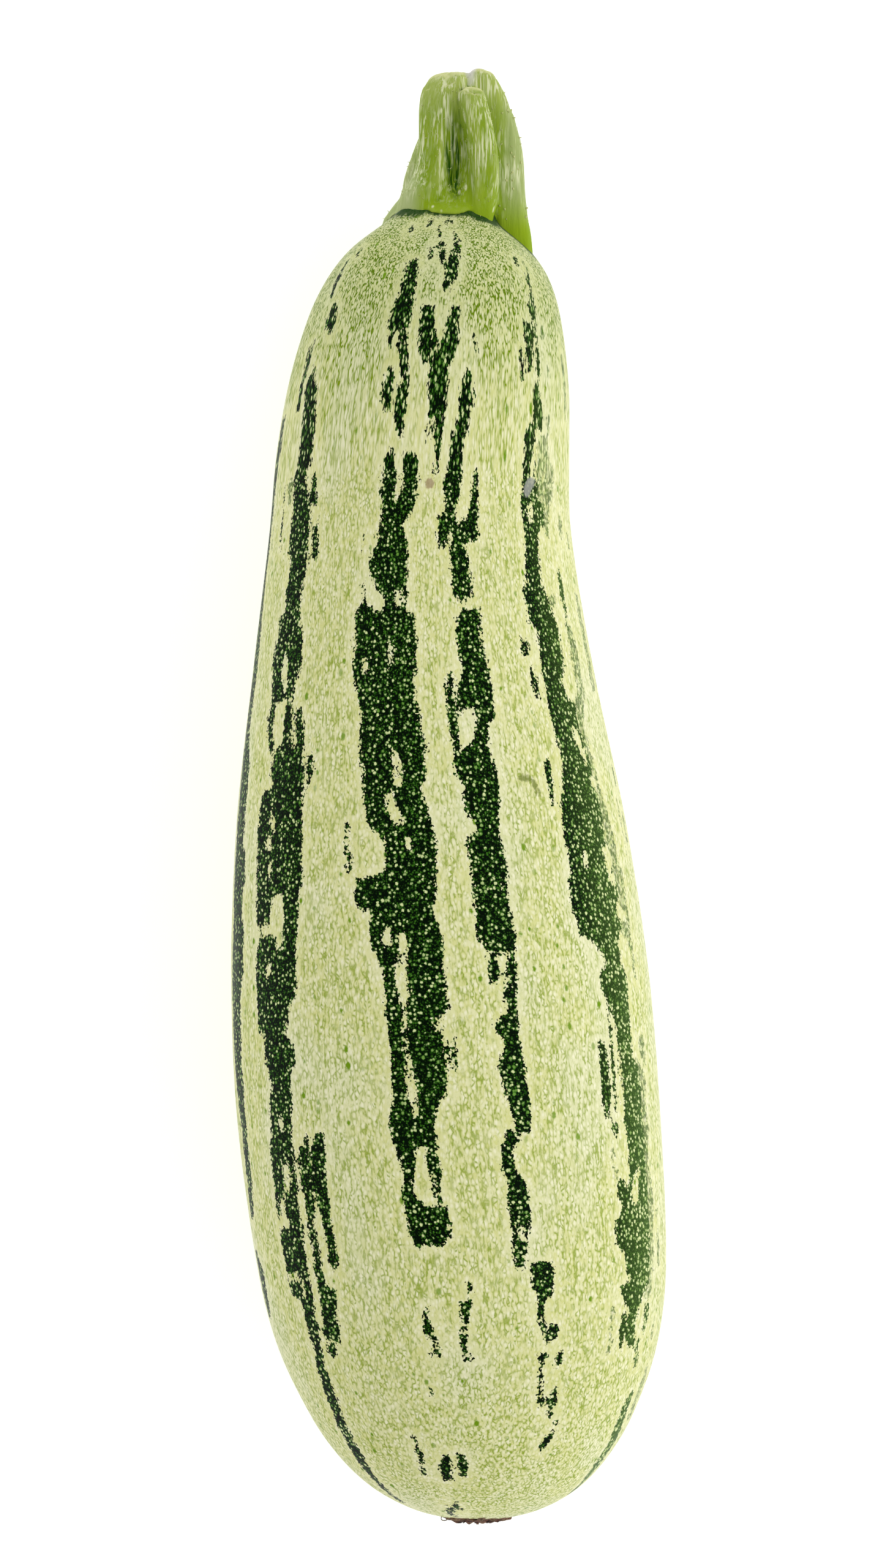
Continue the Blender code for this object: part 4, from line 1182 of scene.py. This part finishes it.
def build_flake(draw, turn, reach, length, width):
    """One dried petal end: a small sheet that narrows and curls outwards."""
    flake = add_primitive(bpy.ops.mesh.primitive_plane_add, size=MM)
    edit_all(flake)
    bpy.ops.mesh.subdivide(number_cuts=5)
    bpy.ops.object.mode_set(mode="OBJECT")
    curl, twist = draw.uniform(*FLAKE_CURL), draw.uniform(*FLAKE_TWIST)
    x, pole = SCAR_CENTRE
    outward = Vector((math.sin(turn), 0.0, math.cos(turn)))
    side = Vector((outward.z, 0.0, -outward.x))
    seed = draw.uniform(0.0, 50.0)
    for vertex in flake.data.vertices:
        across, up = vertex.co.x / MM, vertex.co.y / MM + 0.5
        ragged = noise.noise(Vector((across * 4.0, up * 3.0, seed)))
        out = up * length * (0.35 + curl * up)
        rise = up * length * (1.0 - 0.55 * curl * up) + 0.25 * ragged
        spread = across * width * (1.0 - 0.75 * up) * (1 + 0.6 * ragged) + twist * up**2 * 0.6
        place = Vector((x, pole + dome_depth(reach), 0.0)) + outward * (reach + out) + side * spread
        place.y -= rise - 0.3 + 0.35 * (across * 2) ** 2 * (1 - up)
        vertex.co = place * MM
    apply_modifier(flake, "SOLIDIFY", thickness=FLAKE_THICKNESS * MM, offset=0.0)
    return flake


def build_thread(points, thickness):
    """A fine dried thread along a few points."""
    curve = bpy.data.curves.new("thread", "CURVE")
    curve.dimensions = "3D"
    curve.bevel_depth = thickness * MM
    curve.bevel_resolution = 1
    curve.resolution_u = 5
    curve.use_fill_caps = True
    spline = curve.splines.new("NURBS")
    spline.points.add(len(points) - 1)
    for point, place in zip(spline.points, points):
        point.co = (*(Vector(place) * MM), 1.0)
    spline.use_endpoint_u = True
    spline.order_u = 4
    select_only(add_object("thread", curve))
    bpy.ops.object.convert(target="MESH")
    return bpy.context.object


def build_scar():
    draw = random.Random(SCAR_SEED)
    crust = build_crust()
    bits = []
    for ring, count, length, width in FLAKE_RINGS:
        for n in range(count):
            turn = 2 * math.pi * (n + draw.uniform(*FLAKE_ASIDE)) / count
            reach = ring * draw.uniform(*FLAKE_REACH)
            tall = length * draw.uniform(*FLAKE_LENGTH)
            bits.append(build_flake(draw, turn, reach, tall, width * draw.uniform(*FLAKE_WIDTH)))
    x, pole = SCAR_CENTRE
    corner = Vector((x - SCAR_RADIUS, pole, 0.0))
    bits.append(build_thread([corner + Vector(place) for place in THREAD], THREAD_THICKNESS))
    join_all(crust, bits)
    points = points_of(crust)
    give_attribute(crust, "rim", np.hypot(points[:, 0] - x, points[:, 2]) / SCAR_RADIUS)
    lay_down(crust)
    return crust


# Materials


def add_node(tree, kind, inputs=None, **settings):
    """Adds a shader node. Its inputs are values or the sockets that feed them."""
    made = tree.nodes.new("ShaderNode" + kind)
    for name, value in settings.items():
        setattr(made, name, value)
    for name, value in (inputs or {}).items():
        if isinstance(value, bpy.types.NodeSocket):
            tree.links.new(value, made.inputs[name])
        else:
            made.inputs[name].default_value = value
    return made


def calc(tree, operation, *values):
    return add_node(tree, "Math", dict(enumerate(values)), operation=operation).outputs[0]


def times(tree, first, second):
    return calc(tree, "MULTIPLY", first, second)


def plus(tree, first, second):
    return calc(tree, "ADD", first, second)


def larger(tree, first, second):
    return calc(tree, "MAXIMUM", first, second)


def scaled(tree, value, factor, added):
    """The value times a factor, plus what is added."""
    return calc(tree, "MULTIPLY_ADD", value, factor, added)


def eased(tree, value, low, high, to_low=0.0, to_high=1.0):
    """Runs softly from one value to another while the input goes from low to high."""
    inputs = {"Value": value, "From Min": low, "From Max": high, "To Min": to_low, "To Max": to_high}
    return add_node(tree, "MapRange", inputs, interpolation_type="SMOOTHSTEP").outputs[0]


def mixed(tree, share, first, second):
    """A colour between two, each a socket or three linear numbers. The node takes them as its
    inputs 6 and 7."""
    inputs = {0: share}
    for k, colour in ((6, first), (7, second)):
        inputs[k] = colour if isinstance(colour, bpy.types.NodeSocket) else (*colour, 1.0)
    return add_node(tree, "Mix", inputs, data_type="RGBA").outputs[2]


def stretched(tree, vector, across, along):
    """The vector divided by a size across the fruit and another along it."""
    sizes = (1 / across, 1 / along, 1 / across)
    return add_node(tree, "VectorMath", {0: vector, 1: sizes}, operation="MULTIPLY").outputs[0]


def cloudy(tree, vector, across, along, detail=2.0):
    """Soft noise with blobs of that size."""
    inputs = {"Vector": stretched(tree, vector, across, along), "Scale": 1.0, "Detail": detail}
    return add_node(tree, "TexNoise", inputs).outputs["Fac"]


def new_group(name, inputs, outputs):
    tree = bpy.data.node_groups.new(name, "ShaderNodeTree")
    for title, kind in inputs:
        tree.interface.new_socket(name=title, in_out="INPUT", socket_type="NodeSocket" + kind)
    for title, kind in outputs:
        tree.interface.new_socket(name=title, in_out="OUTPUT", socket_type="NodeSocket" + kind)
    return tree, tree.nodes.new("NodeGroupInput").outputs, tree.nodes.new("NodeGroupOutput")


def make_spots_group():
    """Round spots scattered one to a cell, of uneven size, some of them missing. It gives how deep
    inside the nearest spot a point is, and a chance that is the same all over its cell."""
    asks = (("Vector", "Vector"), ("Spacing", "Float"), ("Radius", "Float"), ("Share", "Float"))
    tree, given, result = new_group("spots", asks, (("Depth", "Float"), ("Chance", "Float")))
    scale = calc(tree, "DIVIDE", 1.0, given["Spacing"])
    inputs = {"Vector": given["Vector"], "Scale": scale, "Randomness": 0.92}
    cells = add_node(tree, "TexVoronoi", inputs)
    chances = add_node(tree, "SeparateColor", {0: cells.outputs["Color"]}).outputs
    apart = times(tree, cells.outputs["Distance"], given["Spacing"])
    grown = times(tree, given["Radius"], scaled(tree, chances[1], 0.7, 0.65))
    missing = calc(tree, "GREATER_THAN", chances[0], given["Share"])
    depth = calc(tree, "SUBTRACT", grown, apart)
    depth = calc(tree, "SUBTRACT", depth, times(tree, missing, 9.0))
    tree.links.new(depth, result.inputs["Depth"])
    tree.links.new(chances[2], result.inputs["Chance"])
    return tree


SPOTS = make_spots_group()


def spots(tree, vector, spacing, radius, share=1.0):
    """The depth in scattered spots, and the chance of each. The share is how many of them show."""
    made = add_node(tree, "Group", node_tree=SPOTS)
    tree.links.new(vector, made.inputs["Vector"])
    for name, value in (("Spacing", spacing), ("Radius", radius), ("Share", share)):
        made.inputs[name].default_value = value
    return made.outputs["Depth"], made.outputs["Chance"]


def shaken(tree, vector, size, amount):
    """The vector moved about a little, so that round shapes in it turn out uneven."""
    inputs = {"Vector": stretched(tree, vector, size, size), "Scale": 1.0, "Detail": 1.0}
    colour = add_node(tree, "TexNoise", inputs).outputs["Color"]
    inputs = {0: colour, 1: (amount, amount, amount), 2: (-amount / 2, -amount / 2, -amount / 2)}
    moved = add_node(tree, "VectorMath", inputs, operation="MULTIPLY_ADD").outputs[0]
    return add_node(tree, "VectorMath", {0: vector, 1: moved}, operation="ADD").outputs[0]


def new_material(name, roughness, specular):
    material = bpy.data.materials.new(name)
    material.use_nodes = True
    tree = material.node_tree
    shader = tree.nodes["Principled BSDF"]
    shader.inputs["Roughness"].default_value = roughness
    shader.inputs["Specular IOR Level"].default_value = specular
    return material, tree, shader


def attribute(tree, name, socket="Fac"):
    return add_node(tree, "Attribute", attribute_name=name).outputs[socket]


def bumped(tree, shader, height, distance):
    inputs = {"Height": height, "Strength": 1.0, "Distance": distance * MM}
    tree.links.new(add_node(tree, "Bump", inputs).outputs["Normal"], shader.inputs["Normal"])


def colour_stripes(tree, place, uneven, fleck_depth, fleck_chance, weak):
    """Near black green with pale flecks, each in a dim green halo, and fine green specks between."""
    deep = mixed(tree, cloudy(tree, place, 5.0, 12.0), *DEEP_GREENS)
    deep = mixed(tree, times(tree, weak, 0.8), deep, WEAK_GREEN)
    speck_depth, speck_chance = spots(tree, uneven, 0.42, 0.13, 0.9)
    specks = times(tree, eased(tree, speck_depth, -0.09, 0.07), speck_chance)
    speckled = mixed(tree, specks, deep, mixed(tree, weak, *SPECK_GREENS))
    swollen = scaled(tree, weak, 0.09, fleck_depth)
    halo = eased(tree, swollen, -0.22, 0.0, 0.0, 0.65)
    haloed = mixed(tree, halo, speckled, mixed(tree, weak, *HALO_GREENS))
    dim = mixed(tree, weak, *DIM_FLECKS)
    fleck_colour = mixed(tree, eased(tree, fleck_chance, 0.0, 0.65), dim, BRIGHT_FLECK)
    return mixed(tree, eased(tree, swollen, -0.09, 0.1), haloed, fleck_colour)


def colour_pale_skin(tree, place, uneven, along, clear):
    """Cream made of small pale ovals, with green lines between them that come and go. The green is
    stronger towards the stem and at the flower end, and weak beside the dark stripes."""
    gently = shaken(tree, place, 0.9, 0.3)
    ovals = {"Vector": stretched(tree, gently, 0.74, 1.25), "Scale": 1.0}
    cells = add_node(tree, "TexVoronoi", ovals)
    apart = cells.outputs["Distance"]
    tone = add_node(tree, "SeparateColor", {0: cells.outputs["Color"]}).outputs[0]
    to_edge = add_node(tree, "TexVoronoi", ovals, feature="DISTANCE_TO_EDGE").outputs["Distance"]
    cream = mixed(tree, cloudy(tree, place, 7.0, 20.0), *CREAMS)
    bloom = eased(tree, cloudy(tree, place, 16.0, 34.0), 0.48, 0.66, 0.0, 0.6)
    cream = mixed(tree, bloom, cream, BLOOM)
    lightness = scaled(tree, tone, 0.5, eased(tree, apart, 0.5, 0.1, 0.0, 0.5))
    cream = mixed(tree, lightness, cream, PALE_OVAL)

    shoulder = eased(tree, along, 62.0, 104.0)
    tail = eased(tree, along, -100.0, -136.0)
    cream = mixed(tree, times(tree, shoulder, 0.55), cream, SHOULDER_CREAM)
    dashes = eased(tree, cloudy(tree, gently, 0.5, 2.2, 1.0), 0.38, 0.6)
    lines = times(tree, eased(tree, to_edge, 0.26, 0.0), dashes)
    knotted = times(tree, dashes, scaled(tree, shoulder, -0.55, 0.8))
    knots = times(tree, eased(tree, apart, 0.42, 0.72), knotted)
    between = larger(tree, lines, knots)
    patches = eased(tree, cloudy(tree, place, 2.5, 7.0), 0.3, 0.6, 0.6, 1.0)
    stronger = scaled(tree, shoulder, 0.9, scaled(tree, tail, 0.1, 0.85))
    amount = times(tree, times(tree, between, patches), stronger)
    green = mixed(tree, shoulder, *NET_GREENS)
    amount = calc(tree, "MINIMUM", times(tree, amount, clear), 1.0)
    netted = mixed(tree, amount, cream, green)

    hairlines = eased(tree, cloudy(tree, uneven, 0.4, 11.0, 1.0), 0.66, 0.74, 0.0, 0.5)
    netted = mixed(tree, times(tree, hairlines, clear), netted, HAIRLINE_GREEN)
    dot_depth, dot_chance = spots(tree, stretched(tree, uneven, 1.0, 1.5), 2.8, 0.34, 0.7)
    dots = times(tree, eased(tree, dot_depth, -0.22, 0.1), eased(tree, dot_chance, 0.1, 0.8))
    return mixed(tree, dots, netted, DOT_GREEN)


def colour_marks(tree, colour, uneven):
    """Adds a healed scratch, a tan spot and a grey rub to a colour."""
    depths = add_node(tree, "SeparateXYZ", {0: attribute(tree, "marks", "Vector")}).outputs
    frayed = scaled(tree, cloudy(tree, uneven, 0.5, 0.5), 0.9, -0.45)
    for depth, tint in zip(depths, MARK_TINTS):
        share = eased(tree, plus(tree, depth, frayed), -0.5, 0.0, 0.0, 0.85)
        colour = mixed(tree, share, colour, tint)
    return colour


def make_skin_material():
    """Cream skin with a fine green net, dark stripes with pale flecks in them, and painted shadow where
    it meets the stem.
    """
    material, tree, shader = new_material("zucchini_skin", 0.45, 0.03)
    shader.inputs["Sheen Weight"].default_value = 0.12
    shader.inputs["Sheen Roughness"].default_value = 0.3
    place = attribute(tree, "cell_place", "Vector")
    along = attribute(tree, "along")
    uneven = shaken(tree, place, 0.45, 0.4)
    fleck_depth, fleck_chance = spots(tree, uneven, 0.85, 0.24, 0.95)
    flecks = eased(tree, fleck_depth, -0.1, 0.12)

    crumb = spots(tree, uneven, 0.62, 0.3)[1]
    ragged = scaled(tree, cloudy(tree, place, 1.4, 4.0), 2.0, -1.0)
    ragged = plus(tree, ragged, scaled(tree, crumb, 0.5, -0.25))
    crumbs = scaled(tree, cloudy(tree, uneven, 0.4, 0.5, 0.0), 1.4, -0.7)
    ragged = scaled(tree, flecks, -0.35, plus(tree, ragged, crumbs))
    depth = plus(tree, attribute(tree, "stripe"), ragged)
    faint_depth = plus(tree, attribute(tree, "faint_stripe"), ragged)
    near = larger(tree, depth, faint_depth)
    clear = eased(tree, near, -0.5, -2.4, 0.12, 1.0)

    weak = attribute(tree, "weak_side")
    striped = colour_stripes(tree, place, uneven, fleck_depth, fleck_chance, weak)
    weakly = colour_stripes(tree, place, uneven, fleck_depth, fleck_chance, 1.0)
    pale = colour_pale_skin(tree, place, uneven, along, clear)
    crumbled = eased(tree, cloudy(tree, uneven, 0.6, 1.4, 1.0), 0.36, 0.54, 0.25, 0.85)
    faint = times(tree, eased(tree, faint_depth, -0.2, 0.3), crumbled)
    pale = mixed(tree, faint, pale, weakly)
    colour = mixed(tree, eased(tree, depth, -0.08, 0.12), pale, striped)

    # Painted shadow on the skin round the stem's foot.
    close = plus(tree, attribute(tree, "stem_shadow_distance"), times(tree, crumb, 0.7))
    colour = mixed(tree, eased(tree, close, 2.5, 1.3, 0.0, 0.96), colour, STEM_SHADOW_GREEN)
    tree.links.new(colour_marks(tree, colour, uneven), shader.inputs["Base Color"])
    grain = scaled(tree, cloudy(tree, place, 0.5, 0.6), 0.6, flecks)
    bumped(tree, shader, grain, 0.03)
    return material


def make_stem_material():
    """Lime green stem with pale streaks on its ridges, painted shade in its grooves, dry on its cut
    ends.
    """
    material, tree, shader = new_material("cut_stem", 0.5, 0.04)
    grown = attribute(tree, "grown", "Vector")
    groove = attribute(tree, "groove")
    across, along, _ = add_node(tree, "SeparateXYZ", {0: grown}).outputs
    lime = mixed(tree, cloudy(tree, grown, 2.0, 6.0), *LIMES)
    base = eased(tree, along, 120.0, 113.0, 0.0, 0.75)
    lime = mixed(tree, base, lime, BASE_LIME)
    back = times(tree, eased(tree, across, -4.5, -8.0), eased(tree, along, 132.0, 122.0))
    right = times(tree, eased(tree, across, 9.5, 13.0), eased(tree, along, 110.0, 120.0))
    faded = larger(tree, times(tree, back, 0.8), times(tree, right, 0.6))
    lime = mixed(tree, faded, lime, FADED_LIME)
    upwards = eased(tree, along, 111.0, 122.0, 0.1, 0.7)
    crest = times(tree, eased(tree, groove, 0.02, -0.4), upwards)
    crest = larger(tree, crest, eased(tree, along, 128.0, 141.0, 0.0, 0.5))
    lime = mixed(tree, crest, lime, CREST_LIME)

    wide_streaks = eased(tree, cloudy(tree, grown, 0.5, 6.5), 0.5, 0.62)
    fine_streaks = eased(tree, cloudy(tree, grown, 0.24, 3.6, 1.0), 0.52, 0.68, 0.0, 0.7)
    streaks = larger(tree, wide_streaks, fine_streaks)
    streaky = eased(tree, cloudy(tree, grown, 2.2, 8.0), 0.38, 0.6, 0.15, 1.0)
    share = times(tree, times(tree, streaks, streaky), eased(tree, along, 112.0, 122.0))
    drop_depth, drop_chance = spots(tree, stretched(tree, grown, 1.0, 2.6), 1.7, 0.26, 0.5)
    drops = times(tree, eased(tree, drop_depth, -0.12, 0.1), drop_chance)
    share = larger(tree, share, drops)
    lime = mixed(tree, times(tree, share, 0.9), lime, STREAK_CREAM)

    # Painted shade in the grooves, deepest in the front groove, broken by dark lines.
    dark_lines = eased(tree, cloudy(tree, grown, 0.32, 9.0, 1.0), 0.36, 0.56, 0.25, 1.0)
    shade = eased(tree, cloudy(tree, grown, 1.2, 5.0), 0.35, 0.6, 0.35, 1.0)
    front = times(tree, eased(tree, attribute(tree, "hollow"), 0.1, 0.7), shade)
    front = times(tree, front, eased(tree, along, 135.0, 124.0, 0.35, 1.0))
    hollow = larger(tree, eased(tree, groove, 0.08, 0.45), front)
    lime = mixed(tree, times(tree, hollow, dark_lines), lime, GROOVE_SHADE_GREEN)
    speck_depth, speck_chance = spots(tree, grown, 5.5, 0.22, 0.3)
    lime = mixed(tree, eased(tree, speck_depth, -0.08, 0.08, 0.0, 0.8), lime, STEM_SPECK)
    dry = larger(tree, attribute(tree, "cut"), attribute(tree, "bristle"))
    cut = times(tree, dry, 0.85)
    lime = mixed(tree, cut, lime, DRY_CUT)
    pith = times(tree, attribute(tree, "pith"), 0.85)
    tree.links.new(mixed(tree, pith, lime, PITH_GREY), shader.inputs["Base Color"])
    bumped(tree, shader, cloudy(tree, grown, 0.3, 2.5), 0.1)
    return material


def make_scar_material():
    """Dry brown flower remains, from near black to reddish brown."""
    material, tree, shader = new_material("dried_flower", 0.8, 0.2)
    place = add_node(tree, "TexCoord").outputs["Object"]
    place = stretched(tree, place, MM, MM)
    patches = eased(tree, cloudy(tree, place, 0.8, 0.8), 0.38, 0.62)
    brown = mixed(tree, patches, *SCAR_BROWNS)
    rim = attribute(tree, "rim")
    corky = larger(tree, eased(tree, rim, 0.42, 0.2), eased(tree, rim, 0.74, 0.88, 0.0, 0.6))
    worn = times(tree, corky, eased(tree, cloudy(tree, place, 0.5, 0.5), 0.4, 0.6, 0.2, 0.9))
    brown = mixed(tree, worn, brown, CORK)
    fibres = eased(tree, cloudy(tree, place, 0.25, 1.2), 0.55, 0.75, 0.0, 0.6)
    tree.links.new(mixed(tree, fibres, brown, SCAR_FIBRE), shader.inputs["Base Color"])
    bumped(tree, shader, cloudy(tree, place, 0.3, 0.3), 0.15)
    return material


# The studio


def light_studio():
    """Soft light from all around, weaker overhead, where the camera is, and from one side."""
    world = bpy.data.worlds.new("studio")
    bpy.context.scene.world = world
    world.use_nodes = True
    tree = world.node_tree
    direction = add_node(tree, "TexCoord").outputs["Generated"]
    height = add_node(tree, "SeparateXYZ", {0: direction}).outputs[2]
    strength = eased(tree, height, 0.45, 0.98, SKY_SIDES, SKY_OVERHEAD)
    inputs = {0: direction, 1: DIM_SIDE}
    aside = add_node(tree, "VectorMath", inputs, operation="DOT_PRODUCT").outputs[1]
    strength = times(tree, strength, eased(tree, aside, 0.55, 1.0, 1.0, DIM_SIDE_SHARE))
    background = tree.nodes["Background"]
    background.inputs["Color"].default_value = (1.0, 1.0, 1.0, 1.0)
    tree.links.new(strength, background.inputs["Strength"])


def add_softbox(name, place, size, power):
    light = bpy.data.lights.new(name, "AREA")
    light.shape = "SQUARE"
    light.size = size
    light.energy = power
    lamp = add_object(name, light)
    lamp.location = place
    lamp.rotation_euler = (-Vector(place)).to_track_quat("-Z", "Y").to_euler()


def build_floor():
    place = (0.0, 0.0, -FLOOR_DROP)
    floor = add_primitive(bpy.ops.mesh.primitive_plane_add, size=FLOOR_SIZE, location=place)
    floor.name = "floor"
    material, tree, shader = new_material("pale_floor", 0.9, 0.1)
    shader.inputs["Base Color"].default_value = (0.9, 0.9, 0.9, 1.0)
    shader.inputs["Emission Color"].default_value = (1.0, 1.0, 1.0, 1.0)
    shader.inputs["Emission Strength"].default_value = FLOOR_GLOW
    floor.data.materials.append(material)


def set_camera():
    camera = bpy.data.cameras.new("camera")
    camera.lens = CAMERA_LENS
    camera.clip_end = 20.0
    holder = add_object("camera", camera)
    holder.location = Vector(CAMERA_PLACE) * MM
    bpy.context.scene.camera = holder


stem = build_stem()
finish_piece(build_skin(stem), "fruit", make_skin_material())
lay_down(stem)
finish_piece(stem, "stem", make_stem_material())
finish_piece(build_scar(), "blossom_scar", make_scar_material())

build_floor()
light_studio()
add_softbox("key_light", *KEY_LIGHT)
set_camera()
bpy.context.scene.view_settings.view_transform = "Standard"
